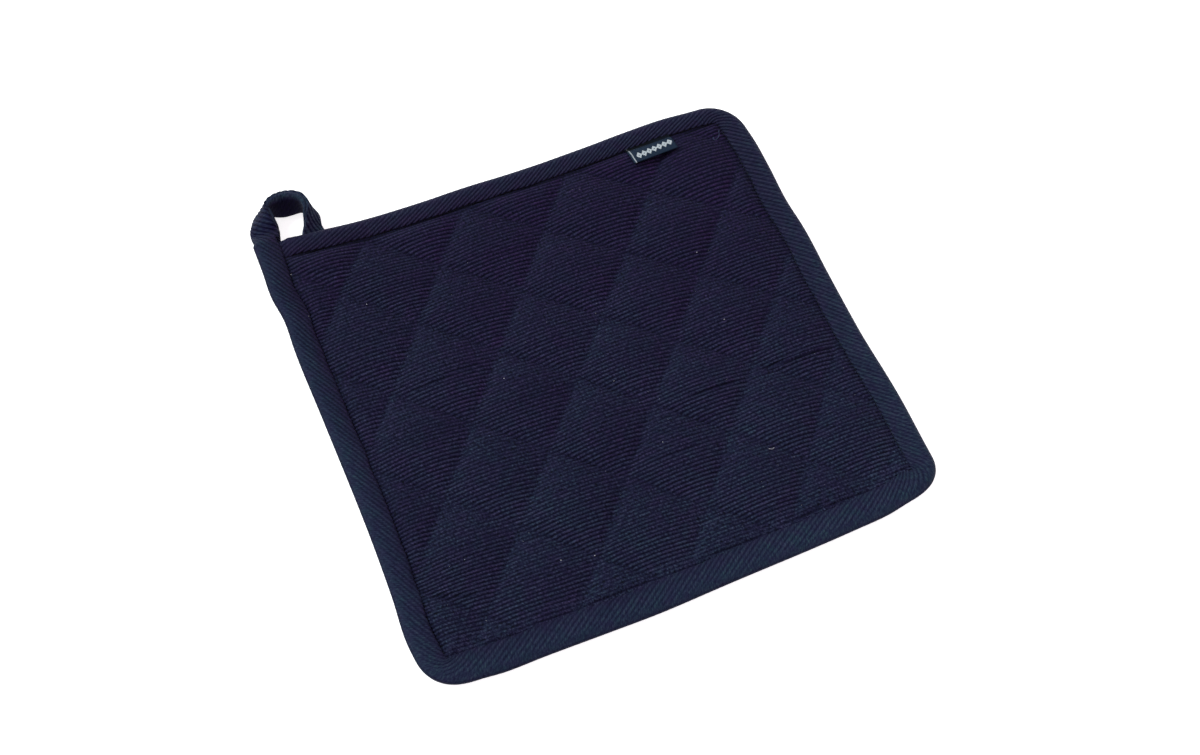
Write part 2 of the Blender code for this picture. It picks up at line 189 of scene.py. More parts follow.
# Puckers along the stitch lines, and the cloth's slow drape.
PUCKER_HEIGHT = 0.16
PUCKER_LENGTH = 5.2
PUCKER_STRETCH = 0.35
PUCKER_REACH = 3.4
PUCKER_RUN = 1.5
PUCKER_SEEDS = (3, 4)
DRAPE_HEIGHT = 0.10
DRAPE_LENGTH = 17.0
DRAPE_SEED = 5

# Creases pressed into the pad: start, end, depth, half width. Each bends a little, fades over a
# share of its length at both ends, and has a low ridge (share of its depth, place, half width).
CREASES = [
    ((60.0, -24.0), (94.0, -27.2), 0.9, 0.5),
    ((24.0, -24.0), (52.0, -27.0), 0.5, 0.6),
    ((-95.0, -60.6), (-76.0, -70.6), 0.6, 0.6),
    ((-75.0, 18.8), (-42.0, 18.8), 0.3, 0.9),
    ((0.8, -45.4), (26.6, -45.4), 0.3, 0.9),
    ((38.0, -86.6), (58.0, -86.9), 0.6, 0.9),
]
CREASE_BEND = 0.5
CREASE_BEND_TURN = 5
CREASE_ENDS = (0.3, 0.2)
CREASE_RIDGE = (0.45, 2.4, 1.6)

# Ribs on the pad run along X with a small lean and a slow sway. Near the top edge they turn
# (slope, from this height, over this much), and so they do at the bottom left corner (slope, from
# this far left, from this far down, over this much).
RIB_LEAN = 1.2
RIB_LEAN_ROOM = 3.0
RIB_SWAY = 0.4
RIB_SWAY_LENGTH = 75.0
RIB_SWAY_SEED = 8
RIB_SPREAD = 0.0003
RIB_TURN_TOP = (0.03, 40.0, 40.0)
RIB_TURN_CORNER = (0.06, -50.0, -50.0, 25.0)
# Where within each rib the pad's rows of points lie, on its face and on its back.
FACE_SHARES = (0.0, 0.2, 0.5, 0.8)
BACK_SHARES = (0.0, 0.5)
PAD_COLUMNS = 128
# The strip's ribs: (place along it, counted in corners from its start, the ribs' angle from its
# length, their pitch against the cloth's own).
BIAS = [(0.0, 34.0, 1.05), (0.4, 35.5, 1.02), (0.65, 38.0, 0.98), (0.9, 34.0, 0.98), (1.0, 42.0, 1.06),
        (1.1, 51.0, 1.16), (1.35, 48.0, 1.12), (1.55, 42.0, 1.06), (1.95, 43.0, 0.98), (2.1, 30.0, 0.99),
        (2.5, 31.5, 0.97), (3.0, 32.0, 1.0), (3.4, 31.5, 0.98), (3.9, 33.0, 0.93), (4.0, 36.0, 0.96),
        (5.0, 38.0, 0.98)]
# How round and how uneven all ribs are, and how deep the strip's are against the pad's.
RIB_ROUNDNESS = 0.7
RIB_UNEVENNESS = 0.5
STRIP_RIB_SHARE = 0.8

# The pad's paleness, partly fading and partly painted light: in its middle, how it changes over
# FADE_AND_LIGHT_SPAN to the right, to the top and to the top right, its random patches, and its change
# within each diamond from SLACK_MIDDLE, which is painted light.
PAD_FADE_AND_LIGHT = {"middle": 0.355, "right": -0.03, "top": -0.19, "corner": -0.06, "patches": 0.08,
            "slack": -0.08, "across": -0.18}
FADE_AND_LIGHT_SPAN = (85, 75)
FADE_PATCH_LENGTH = 60
FADE_PATCH_SEED = 6
# How slack the cloth is in a diamond, from tight at its upper left to slack at its lower right, the painted
# shade and light that follow it, and its ribs' relief. Each diamond's right corner is painted lighter (by
# this much, from this far across, over this much), and the ribs are lower beside the bottom seam (this share
# there, all of it this far in).
SLACK = {"down": 0.65, "across": 0.35, "from": 0.05, "over": 0.75}
SLACK_MIDDLE = 0.45
SLACK_SHADE = (0.87, 0.865, 1.03)
RIB_RELIEF = (0.64, 1.0)
RIGHT_CORNER_LIGHT = (0.12, 0.7, 0.2)
BOTTOM_RELIEF = (0.6, 9)

# Shade on the pad beside the seams, where the right one's changes from its middle to its ends
# (share in the middle, change, length it takes), and in the stitched valleys and creases.
SEAM_SHADE = {"top": 0.7, "right": 0.45, "bottom": 0.0, "left": 0.5}
SEAM_SHADE_REACH = 0.8
RIGHT_SEAM_SHADE = (0.7, 0.3, 70)
DOWN_SHADE = 0.22
UP_SHADE = 0.05
LINE_SHADE_REACH = 0.7
CREASE_SHADE = 0.75

# The strip at its start, its four corners and its end: how pale and teal it is at EDGE_LIGHT_MIDDLE of its
# width and how that changes across it, paler towards its fold as painted light and sheen, how raised its
# ribs are, and how much painted light reaches its lips and its face. Its hollow has the same painted shade
# everywhere.
STRIP_FADE_AND_LIGHT = [0.1, 0.4, 0.9, 0.8, 0.4, 0.65]
EDGE_LIGHT_SPREAD = [0.4, 0.3, 0.5, 0.8, 1.3, 0.5]
EDGE_LIGHT_MIDDLE = 0.45
RIBBING = [0.9, 1.05, 0.62, 0.52, 1.15, 0.85]
LIP_SHADE = [0.4, 0.4, 0.95, 0.95, 0.55, 1.1]
SIDE_SHADE = [1.0, 1.0, 1.02, 0.92, 0.8, 0.8]
HOLLOW_SHADE = 0.3
# Its folded edge: how much light and relief is left, and over which share of the section.
FOLD_SHADE = 0.5
FOLD_SHADE_RUN = 0.2
FOLD_RIBBING = 0.15
FOLD_RIBBING_FROM = 0.3
FOLD_RIBBING_RUN = 0.9
FOLD_DULL = 0.12

# The loop: over which length the strip turns into it, its outside (shade at its start, LEG_MIDDLE on and at
# its end), its inner face, which is smooth and painted dark and purple as shade, with a painted highlight,
# pale and teal, on its rim, and how much more light its lips get, outside and in the hollow.
LOOP_BLEND = 10
LEG_SHADE = (0.85, 1.25, 2.3)
LEG_MIDDLE = 26
LEG_FADE_AND_LIGHT = 0.6
LOOP_SHADE = 0.42
LOOP_SHADE_TINT = 0.1
LOOP_RIBBING = 0.15
RIM_FROM = 0.74
RIM_RUN = 0.16
RIM_SHADE = 1.9
RIM_LIGHT_TINT = 0.7
LOOP_LIP_LIGHT = 0.9
LOOP_HOLLOW_LIGHT = 1.5

# The label: left end, width, inset of its root, length to its fold, how much shorter its right end
# is, its thickness, its layers' share of it, and its free end's rise, curl and skew.
LABEL_LEFT = 52.7
LABEL_WIDTH = 20.8
LABEL_INSET = 8.7
LABEL_LENGTH = 10.3
LABEL_SLANT = 0.07
LABEL_THICK = 0.7
LABEL_LAYER = 0.38
LABEL_GAP = 0.05
LABEL_SAG = 0.35
LABEL_RISE = 1.0
LABEL_CURL = (0.25, 5, 0.6)
LABEL_SKEW = 0.2
LABEL_COLUMNS = 31
LABEL_ROWS = 40
LABEL_SECTION_STEPS = 15
LABEL_FOLD_STEPS = 7
# Painted shadow of the strip's lip over the label's root: its least light, where it starts to lighten, over
# how far.
LABEL_ROOT_SHADE = (0.08, 2.3, 0.9)
# What is woven in it: the middle of the row of lozenges at its left and right end, their pitch,
# slopes and sizes, the row's middle and half length, and the line (its middle, half width, tone).
LABEL_ROW = (7.4, 5.7)
LOZENGE_PITCH = 2.5
LOZENGE_SLOPES = (1.6, 0.50)
LOZENGE_EDGE = 0.90
LOZENGE_HOLE = 0.17
LOZENGE_ROW = (11.25, 8.74)
LABEL_LINE = (0.95, 0.26, 0.75)
SATIN_PITCH = (0.22, 0.28)

# Loose ends, in plan: the thread at a corner of the seam, a pale fibre, and specks of lint.
LOOSE_THREAD = [(95.2, 85.8), (94.5, 85.0), (94.2, 83.9), (93.3, 82.6), (91.8, 82.1), (90.9, 82.7),
                (91.3, 83.6)]
PALE_FIBRE = [(48.0, -57.0), (48.8, -57.5), (49.6, -57.6), (50.4, -57.2)]
LINT = [(-97.6, 84.2), (-74.1, 61.2), (-35.7, 9.9), (56.2, 0.5), (59.7, 33.7), (4.1, -7.3), (10.6, -39.1),
        (-44.8, -68.4), (-31.9, -70.8), (9.9, 23.8), (-97.2, 64.3), (-78.9, -78.6)]
LINT_DUST = 60
LINT_DUST_REACH = (92, 84)
LINT_SEED = 21


def ramp(t):
    """A smooth step from 0 at t = 0 to 1 at t = 1."""
    t = np.clip(t, 0.0, 1.0)
    return 0.5 - 0.5 * np.cos(math.pi * t)


def between(first, last, share):
    """A value that goes from the first to the last."""
    return first + (last - first) * share


def bell(t):
    """1 at t = 0, falling off smoothly on both sides."""
    return np.exp(-t**2)


def through(rows, at):
    """A smooth curve through (place, value, ...) rows, read at the places given."""
    rows = np.array(rows, float)
    place, value = rows[:, 0], rows[:, 1:]
    slope = np.gradient(value, place, axis=0)
    at = np.clip(np.atleast_1d(np.asarray(at, float)), place[0], place[-1])
    k = np.clip(np.searchsorted(place, at, side="right") - 1, 0, len(place) - 2)
    step = (place[k + 1] - place[k])[:, None]
    t = ((at - place[k])[:, None]) / step
    return (
        (2 * t**3 - 3 * t**2 + 1) * value[k]
        + (t**3 - 2 * t**2 + t) * step * slope[k]
        + (3 * t**2 - 2 * t**3) * value[k + 1]
        + (t**3 - t**2) * step * slope[k + 1]
    )


def run_along(points):
    """How far along its path each point is."""
    return np.concatenate([[0], np.cumsum(np.linalg.norm(np.diff(points, axis=0), axis=1))])


def direction(angle):
    """The unit vector in plan at an angle in degrees."""
    return np.array([math.cos(math.radians(angle)), math.sin(math.radians(angle))])


def lift(x, y):
    """How far the pad is raised from the surface at a place."""
    across = 1.0 - ramp((np.asarray(x) - LIFT_FULL_X) / LIFT_RUN_X)
    along = 1.0 - ramp((LIFT_FULL_Y - np.asarray(y)) / LIFT_RUN_Y)
    return LIFT * across**2 * along


def side_wave(side, along):
    """How far a side stands out from a straight line."""
    return through(SIDE_WAVES[side], along)[:, 0]


def ripples(x, y, wavelength, seed, count=16):
    """A smooth uneven field of about -1 to 1, made of waves of about that length."""
    random = np.random.default_rng(seed)
    total = np.zeros(np.broadcast(x, y).shape)
    for _ in range(count):
        turn, phase = random.uniform(0, 2 * math.pi, 2)
        length = wavelength * random.uniform(0.7, 1.5)
        total += np.sin(2 * math.pi * (x * math.cos(turn) + y * math.sin(turn)) / length + phase)
    return total / math.sqrt(2 * count)


# ---- the pad's surface ----

def line_rows(rows, normal_angle):
    """Each stitch line as (point, unit normal)."""
    return [(direction(normal_angle) * offset, direction(angle + 90)) for offset, angle in rows]


QUILT_DOWN = line_rows(LINES_DOWN, LINES_DOWN_NORMAL)
QUILT_UP = line_rows(LINES_UP, LINES_UP_NORMAL)


def band_of(points, lines):
    """The band between two stitch lines that each point is in, and how far across it is."""
    away = np.array([(points - at) @ normal for at, normal in lines])
    if away[0].mean() < away[-1].mean():
        away = -away
    band = np.clip((away >= 0).sum(axis=0) - 1, 0, len(lines) - 2)
    pick = np.arange(len(points))
    before, after = away[band, pick], away[band + 1, pick]
    return band, np.clip(before / (before - after), 0.0, 1.0)


def seam_distances(points):
    """How far each point lies inside the strip's seam, from each side of the pad."""
    x, y = points[:, 0], points[:, 1]
    sides = {"top": (HALF_H, x, -y), "bottom": (HALF_H, x, y),
             "right": (HALF_W, y, -x), "left": (HALF_W, y, x)}
    return {side: half + side_wave(side, along) - SEAM_INSET[side] - BODY_ROOM + inward
            for side, (half, along, inward) in sides.items()}


def seam_distance(points):
    """How far each point lies inside the nearest seam; negative where the strip covers it."""
    return np.min(list(seam_distances(points).values()), axis=0)


def from_seams(points):
    """A share from 0 at the seams to 1 in the open, sooner along the bottom seam."""
    runs = [away / SEAM_RUN[side] for side, away in seam_distances(points).items()]
    return 1 - np.exp(-np.maximum(np.min(runs, axis=0), 0))


def fold_shade(points):
    """How much light reaches the pad's cloth beside the seams and in the stitched valleys."""
    base, more, span = RIGHT_SEAM_SHADE
    shares = {"right": base + more * np.clip(points[:, 1] / span, -1, 1)}
    dark = [SEAM_SHADE[side] * shares.get(side, 1.0) * bell(np.maximum(away, 0) / SEAM_SHADE_REACH)
            for side, away in seam_distances(points).items()]
    shade = 1 - np.max(dark, axis=0)
    for lines, depth in ((QUILT_DOWN, DOWN_SHADE), (QUILT_UP, UP_SHADE)):
        away = np.min([np.abs((points - at) @ normal) for at, normal in lines], axis=0)
        shade *= 1 - depth * bell(away / LINE_SHADE_REACH)
    for depth, away in beside_creases(points):
        shade *= 1 - CREASE_SHADE * np.minimum(depth, 1) * bell(away)
    return shade


def quilting(points):
    """Each point's diamond: how full the quilting is there, 0 on a line and 1 in mid diamond,
    its size against the other diamonds, and the puckers along its stitch lines."""
    band_a, share_a = band_of(points, QUILT_DOWN)
    band_b, share_b = band_of(points, QUILT_UP)
    swell = 16 * share_a * (1 - share_a) * share_b * (1 - share_b)
    low, high = PUFF_SOFTNESS**PUFF_FULLNESS, (1 + PUFF_SOFTNESS)**PUFF_FULLNESS
    fill = ((swell + PUFF_SOFTNESS)**PUFF_FULLNESS - low) / (high - low)
    random = np.random.default_rng(PUFF_SEED)
    size = random.uniform(*PUFF_UNEVENNESS, (len(LINES_DOWN), len(LINES_UP)))
    puckers = np.zeros(len(points))
    across_and_along = ((share_a, band_b + share_b), (share_b, band_a + share_a))
    for (near, along), seed in zip(across_and_along, PUCKER_SEEDS):
        away = np.minimum(near, 1 - near) * LINE_SPACING
        wave = ripples(along * LINE_SPACING, away * PUCKER_STRETCH, PUCKER_LENGTH, seed, count=6)
        puckers += wave * np.exp(-away / PUCKER_REACH) * ramp(away / PUCKER_RUN)
    return fill, size[band_a, band_b], puckers


def face_height(points, rise):
    """The quilted face's height at each point, where it dips under the strip too."""
    fill, size, puckers = quilting(points)
    near = from_seams(points)
    height = TROUGH_FACE + rise * fill * size * near
    height += PUCKER_HEIGHT * puckers * near
    height += DRAPE_HEIGHT * ripples(points[:, 0], points[:, 1], DRAPE_LENGTH, DRAPE_SEED) * near
    for side, away in seam_distances(points).items():
        level = SEAM_LEVEL[side] * bell(away / SEAM_LEVEL_REACH)
        height += level * ramp((away - SEAM_LEVEL_FROM) / SEAM_LEVEL_RUN)
    height -= TUCK_DEPTH * ramp((TUCK_FROM - seam_distance(points)) / TUCK_RUN)
    return height + pressed_creases(points) + lift(points[:, 0], points[:, 1])


def back_height(points):
    """The back's height: flat on the surface, hollow under the stitch lines and the strip."""
    fill = quilting(points)[0]
    pressed = np.minimum(ramp(seam_distance(points) / BACK_SEAM_RUN), ramp(fill / BACK_LINE_RUN))
    return TROUGH_BACK * (1 - pressed) + lift(points[:, 0], points[:, 1])


def beside_creases(points):
    """For each crease: its depth along itself, fading to its ends, and how many half widths away
    each point is."""
    for first, last, depth, width in CREASES:
        first, last = np.array(first), np.array(last)
        length = np.linalg.norm(last - first)
        ahead = (last - first) / length
        run = (points - first) @ ahead
        bend = CREASE_BEND * np.sin(run / length * CREASE_BEND_TURN)
        away = (points - first) @ np.array([-ahead[1], ahead[0]]) + bend
        start, end = CREASE_ENDS
        ends = ramp(run / (start * length)) * ramp((length - run) / (end * length))
        yield depth * ends, away / width


def pressed_creases(points):
    """The height that the creases take from the face, with a low ridge along their upper side."""
    ridge, place, width = CREASE_RIDGE
    total = np.zeros(len(points))
    for depth, away in beside_creases(points):
        total -= depth * (bell(away) - ridge * bell((away - place) / width))
    return total


def held_in(value, low, high):
    """Values kept between two limits, slowing down over the last stretch before each."""
    def slowed(beyond):
        return HIDDEN_ROOM * (1 - np.exp(-np.maximum(beyond, 0) / HIDDEN_ROOM))

    above = value - (high - HIDDEN_ROOM)
    below = (low + HIDDEN_ROOM) - value
    value = np.where(above > 0, high - HIDDEN_ROOM + slowed(above), value)
    return np.where(below > 0, low + HIDDEN_ROOM - slowed(below), value)


def rib_grid(shares, pitch):
    """Plan points in rows that follow the ribs, with each row's rib count."""
    most = math.ceil((HALF_H - HIDDEN_INSET + RIB_LEAN_ROOM) / pitch)
    across = np.array([rib + share for rib in range(-most, most) for share in shares] + [float(most)])
    place = across * pitch * (1 + RIB_SPREAD * across)
    left = -(HALF_W + side_wave("left", place) - HIDDEN_INSET)
    right = HALF_W + side_wave("right", place) - HIDDEN_INSET
    share = np.linspace(0, 1, PAD_COLUMNS + 1)
    x = left[:, None] + share[None, :] * (right - left)[:, None]
    rows = place[:, None] + 0 * x
    y = rows - math.tan(math.radians(RIB_LEAN)) * x
    y += RIB_SWAY * ripples(x, rows, RIB_SWAY_LENGTH, RIB_SWAY_SEED)
    slope, start, over = RIB_TURN_TOP
    y += slope * x * ramp((rows - start) / over)
    slope, left_of, below, over = RIB_TURN_CORNER
    y -= slope * np.minimum(x - left_of, 0) * ramp((below - rows) / over)
    top = HALF_H + side_wave("top", x.ravel()).reshape(x.shape) - HIDDEN_INSET
    bottom = -(HALF_H + side_wave("bottom", x.ravel()).reshape(x.shape) - HIDDEN_INSET)
    return x, held_in(y, bottom, top), across


def grid_faces(index, turned=False):
    """Quads of a grid of points."""
    quads = np.stack([index[:-1, :-1], index[:-1, 1:], index[1:, 1:], index[1:, :-1]], axis=-1)
    quads = quads.reshape(-1, 4)
    return (quads[:, ::-1] if turned else quads).tolist()


def tube_faces(rings, size, turned=False):
    """Quads of a tube of rings of points, and a face on each end."""
    index = np.arange(rings * size).reshape(rings, size)
    after = np.roll(index, -1, axis=1)
    corners = [index[:-1], after[:-1], after[1:], index[1:]]
    ends = [index[0][::-1], index[-1]]
    if turned:
        corners = corners[:1] + corners[:0:-1]
        ends = [end[::-1] for end in ends]
    return np.stack(corners, axis=-1).reshape(-1, 4).tolist() + [end.tolist() for end in ends]


def new_object(name, data):
    """An object in the scene, at the origin."""
    obj = bpy.data.objects.new(name, data)
    bpy.context.scene.collection.objects.link(obj)
    return obj


def give_points(mesh, **looks):
    """Values that a mesh's points carry."""
    for label, values in looks.items():
        values = np.broadcast_to(np.asarray(values, np.float32), len(mesh.vertices)).copy()
        mesh.attributes.new(label, "FLOAT", "POINT").data.foreach_set("value", values)


def cloth_object(name, points, faces, along, across, **looks):
    """A mesh object in metres whose points know their rib and their place along it, and carry how ribbed
    they are, how pale from fading and painted light, and how much painted light reaches them."""
    mesh = bpy.data.meshes.new(name)
    mesh.from_pydata((points * MM).tolist(), [], faces)
    give_points(mesh, across=across, **looks)
    corner = np.zeros(len(mesh.loops), np.int64)
    mesh.loops.foreach_get("vertex_index", corner)
    pairs = np.column_stack([along, across])[corner]
    mesh.uv_layers.new(name="weave").data.foreach_set("uv", pairs.astype(np.float32).ravel())
    mesh.shade_smooth()
    mesh.update()
    return new_object(name, mesh)


def pad_side(shares, pitch, height):
    """One side of the pad, as a grid along the ribs: points, rib counts, and the grid's shape."""
    x, y, across = rib_grid(shares, pitch)
    plan = np.column_stack([x.ravel(), y.ravel()])
    return np.column_stack([plan, height(plan)]), np.repeat(across, x.shape[1]), x.shape


def pad_faces(face_shape, back_shape):
    """Quads of both sides, and the wall between them round the edge that the strip hides."""
    top = np.arange(math.prod(face_shape)).reshape(face_shape)
    low = top.size + np.arange(math.prod(back_shape)).reshape(back_shape)
    faces = grid_faces(top) + grid_faces(low, turned=True)
    for row, turned in ((0, False), (-1, True)):
        for k in range(face_shape[1] - 1):
            quad = [top[row, k], low[row, k], low[row, k + 1], top[row, k + 1]]
            faces.append(quad[::-1] if turned else quad)
    step = len(FACE_SHARES) // len(BACK_SHARES)
    for column, turned in ((0, True), (-1, False)):
        for k in range(back_shape[0] - 1):
            side = [top[step * k + n, column] for n in range(step + 1)]
            ring = side[::-1] + [low[k, column], low[k + 1, column]]
            faces.append(ring[::-1] if turned else ring)
    return [[int(v) for v in face] for face in faces]


def pad_looks(points):
    """How pale the pad's cloth is, from fading and painted light, how much painted light reaches it and how
    raised its ribs are. In each diamond the cloth lies flatter at the upper left, where it is pulled tight,
    and is painted paler and more teal there, as painted light on the slopes that face the lamp."""
    plan = points[:, :2]
    right, top = (plan / FADE_AND_LIGHT_SPAN).T
    fading_and_light = PAD_FADE_AND_LIGHT["middle"] + PAD_FADE_AND_LIGHT["right"] * right + PAD_FADE_AND_LIGHT["top"] * top
    fading_and_light += PAD_FADE_AND_LIGHT["corner"] * right * top
    fading_and_light += PAD_FADE_AND_LIGHT["patches"] * ripples(*plan.T, FADE_PATCH_LENGTH, FADE_PATCH_SEED)
    down = 1 - band_of(plan, QUILT_DOWN)[1]
    across = band_of(plan, QUILT_UP)[1]
    slack = ramp((SLACK["down"] * down + SLACK["across"] * across - SLACK["from"]) / SLACK["over"])
    # Painted light: paler and more teal where the diamond is tight and towards its left, on the slopes that
    # face the lamp.
    fading_and_light += PAD_FADE_AND_LIGHT["slack"] * (slack - SLACK_MIDDLE) + PAD_FADE_AND_LIGHT["across"] * (across - SLACK_MIDDLE)
    light, start, over = RIGHT_CORNER_LIGHT
    # Painted shade beside the seams, in the stitched valleys and creases and with the slack, and a painted
    # lighter right corner in each diamond.
    shade = fold_shade(plan) * np.interp(slack, (0, 0.5, 1), SLACK_SHADE)
    shade *= 1 + light * ramp((across - start) / over)
    least, over = BOTTOM_RELIEF
    ribbed = between(*RIB_RELIEF, slack) * between(least, 1, ramp(seam_distances(plan)["bottom"] / over))
    return {"ribbed": ribbed, "faded": np.clip(fading_and_light, 0, 1), "shade": shade}


def pad_mesh(pitch, rise):
    """The pad's face and back, joined round the edge. The back has half as many rows."""
    face, face_ribs, face_shape = pad_side(FACE_SHARES, pitch, lambda plan: face_height(plan, rise))
    back, back_ribs, back_shape = pad_side(BACK_SHARES, pitch, back_height)
    points = np.vstack([face, back])
    across = np.concatenate([face_ribs, back_ribs])
    faces = pad_faces(face_shape, back_shape)
    return cloth_object("quilted_cloth", points, faces, points[:, 0], across, **pad_looks(points))


# ---- the strip's surface ----

def side_points(side, fraction, inset, first, last):
    """Points along one side, from first to last, at an inset from the folded edge."""
    along = between(first, last, fraction)
    outward = side_wave(side, along) - inset
    if inset:
        wobble = ripples(along, 0 * along, SEAM_WOBBLE_LENGTH, SEAM_WOBBLE_SEED[side], count=8)
        outward += SEAM_WOBBLE * wobble
    if side in ("top", "bottom"):
        sign = 1 if side == "top" else -1
        return np.column_stack([along, sign * (HALF_H + outward)])
    sign = 1 if side == "right" else -1
    return np.column_stack([sign * (HALF_W + outward), along])


def corner_points(corner, at_seam):
    """Points round one corner, clockwise, without the points where it meets its sides: a large
    arc at the folded edge, a nearly square turn at the seam."""
    vertical, horizontal = corner.split("_")
    sign_x = 1 if horizontal == "right" else -1
    sign_y = 1 if vertical == "top" else -1
    radius = SEAM_CORNER_RADIUS if at_seam else CORNER_RADIUS[corner]
    inset_x = SEAM_INSET[horizontal] if at_seam else 0.0
    inset_y = SEAM_INSET[vertical] if at_seam else 0.0
    centre = np.array([sign_x * (HALF_W - inset_x - radius), sign_y * (HALF_H - inset_y - radius)])
    angle = np.radians(CORNER_START[corner] - 90 * np.arange(1, CORNER_STEPS) / CORNER_STEPS)
    points = centre + radius * np.column_stack([np.cos(angle), np.sin(angle)])
    points[:, 0] += sign_x * side_wave(horizontal, points[:, 1]) * np.cos(angle) ** 2
    points[:, 1] += sign_y * side_wave(vertical, points[:, 0]) * np.sin(angle) ** 2
    return points


def side_spans():
    """Each side of the strip, clockwise, with the places where it starts and ends."""
    def reach(half, corner):
        return half - CORNER_RADIUS[corner]

    return [
        ("top", START_X, reach(HALF_W, "top_right")),
        ("right", reach(HALF_H, "top_right"), -reach(HALF_H, "bottom_right")),
        ("bottom", reach(HALF_W, "bottom_right"), -reach(HALF_W, "bottom_left")),
        ("left", -reach(HALF_H, "bottom_left"), END_Y),
    ]


def evenly(points, count):
    """Points at even steps along a path, without its two ends."""
    run = run_along(points)
    at = np.linspace(0, run[-1], count + 1)[1:-1]
    return np.column_stack([np.interp(at, run, points[:, k]) for k in (0, 1)])


def edge_and_seam():
    """The strip's folded edge and, point across from point, its seam edge: clockwise from its
    start at the top left to its end past the same corner."""
    share = np.linspace(0, 1, SIDE_STEPS)
    spans = side_spans()
    outer = [side_points(side, share, 0.0, first, last) for side, first, last in spans]
    inner = [side_points(side, share, SEAM_INSET[side], first, last) for side, first, last in spans]
    edge, seam = [outer[0]], [inner[0]]
    for k, corner in enumerate(CORNERS):
        arc = corner_points(corner, at_seam=True)
        edge += [corner_points(corner, at_seam=False), outer[k + 1]]
        seam += [evenly(np.vstack([inner[k][-1], arc, inner[k + 1][0]]), CORNER_STEPS), inner[k + 1]]
    return np.concatenate(edge), np.concatenate(seam)


def edge_stations():
    """Rows along the edge of the pad: folded edge, seam edge, face direction, half thickness
    outside, half gap inside, and how far the fold is drawn in."""
    edge, seam = edge_and_seam()
    first = np.arange(len(edge)) < len(edge) / 4
    thin = np.where(first, 1 - ramp((edge[:, 0] - THIN_TO_X) / THIN_OVER), 0)
    wide = np.where(first, 0, ramp((edge[:, 1] - WIDE_FROM_Y) / WIDE_OVER) * (edge[:, 0] < 0))
    outer = STRIP_OUTER + (THIN_OUTER - STRIP_OUTER) * thin + (WIDE_OUTER - STRIP_OUTER) * wide
    inner = STRIP_INNER + (THIN_INNER - STRIP_INNER) * thin + (WIDE_INNER - STRIP_INNER) * wide
    up = np.tile([0.0, 0.0, 1.0], (len(edge), 1))
    edge_z, seam_z = (EDGE_MIDDLE + lift(line[:, 0], line[:, 1]) for line in (edge, seam))
    return np.column_stack([edge, edge_z, seam, seam_z, up, outer, inner, THIN_FOLD * thin])


def loop_stations():
    """The same rows along the hanging loop."""
    rows = np.array(LOOP_STATIONS, float)
    run = run_along(rows[:, :3])
    at = np.linspace(0, run[-1], LOOP_STEPS)
    table = through(np.column_stack([run, rows]), at)
    middle, roll, width, thick = table[:, :3], np.radians(table[:, 3]), table[:, 4], table[:, 5]
    ahead = np.gradient(middle, axis=0)
    ahead[0], ahead[-1] = (0, 1, 0), (0, -1, 0)
    ahead /= np.linalg.norm(ahead, axis=1)[:, None]
    outward = np.column_stack([-ahead[:, 1], ahead[:, 0], np.zeros(len(at))])
    outward /= np.linalg.norm(outward, axis=1)[:, None]
    up = np.cross(ahead, outward)
    up *= np.sign(up[:, 2])[:, None]
    face = np.cos(roll)[:, None] * up + np.sin(roll)[:, None] * outward
    half = np.cross(ahead, face) * width[:, None] / 2
    inner = between(LOOP_INNER, WIDE_INNER, 1 - ramp(at / LOOP_SHUT_OVER))
    return np.column_stack([middle - half, middle + half, face, thick / 2, inner, np.zeros(len(at))])


def strip_rows():
    """The strip from its start to the loop's tail, each row led by its place along the strip."""
    rows = np.vstack([edge_stations(), loop_stations()[1:]])
    return np.column_stack([run_along((rows[:, :3] + rows[:, 3:6]) / 2), rows])


def strip_marks(run):
    """The places along the strip of its start, its three round corners, the fourth, and its end."""
    corners = [(SIDE_STEPS + CORNER_STEPS - 1) * k + SIDE_STEPS + CORNER_STEPS // 2 for k in range(3)]
    return run[[0] + corners + [len(run) - LOOP_STEPS, len(run) - 1]]


def bias_table(run, pitch):
    """The ribs' count along the strip, read at fine places, with their slant there."""
    place = np.interp([row[0] for row in BIAS], np.arange(6), strip_marks(run))
    rows = np.column_stack([place, [row[1:] for row in BIAS]])
    fine = np.linspace(-BIAS_ROOM, run[-1] + BIAS_ROOM, BIAS_STEPS)
    angle, share = through(rows, fine).T
    angle = np.radians(angle)
    step = np.diff(fine) * (np.sin(angle) / (pitch * share))[1:]
    return fine, np.concatenate([[0], np.cumsum(step)]), 1 / np.tan(angle)


def strip_outside():
    """The outside of the strip's section from back lip to face lip: how far it is round the
    fold's bend, how far across the flat after it, and its share of the half thickness."""
    turn = np.linspace(0, math.pi / 2, FOLD_STEPS)
    bend = np.column_stack([1 - np.cos(turn), 0 * turn, np.sin(turn) ** FOLD_FULLNESS])
    face = np.vstack([bend, [(1, *row) for row in STRIP_FLAT]])
    back = face[:0:-1] * (1, 1, -1)
    return np.vstack([back, face])


def unrolled_outside(outside):
    """How far each point of the outside lies from the strip's middle when it is laid flat."""
    bend = FOLD_ROUND * STRIP_OUTER
    across = bend * outside[:, 0] + (BINDING_WIDTH - bend) * outside[:, 1]
    return run_along(np.column_stack([across, STRIP_OUTER * outside[:, 2]]))[::-1] - BINDING_WIDTH / 2


def strip_rings(rows, unrolled, pitch):
    """The rings of points that follow the strip's ribs: rib count, place on its middle, slant."""
    fine, ribs, slants = bias_table(rows[:, 0], pitch)
    first = np.interp(-unrolled.max() * slants[0] - RING_ROOM, fine, ribs)
    last = np.interp(rows[-1, 0] - unrolled.min() * slants[-1] + RING_ROOM, fine, ribs)
    across = np.arange(math.floor(first), math.ceil(last), 1 / STRIP_SHARES)
    start = np.interp(across, ribs, fine)
    return across, start, np.interp(start, fine, slants)


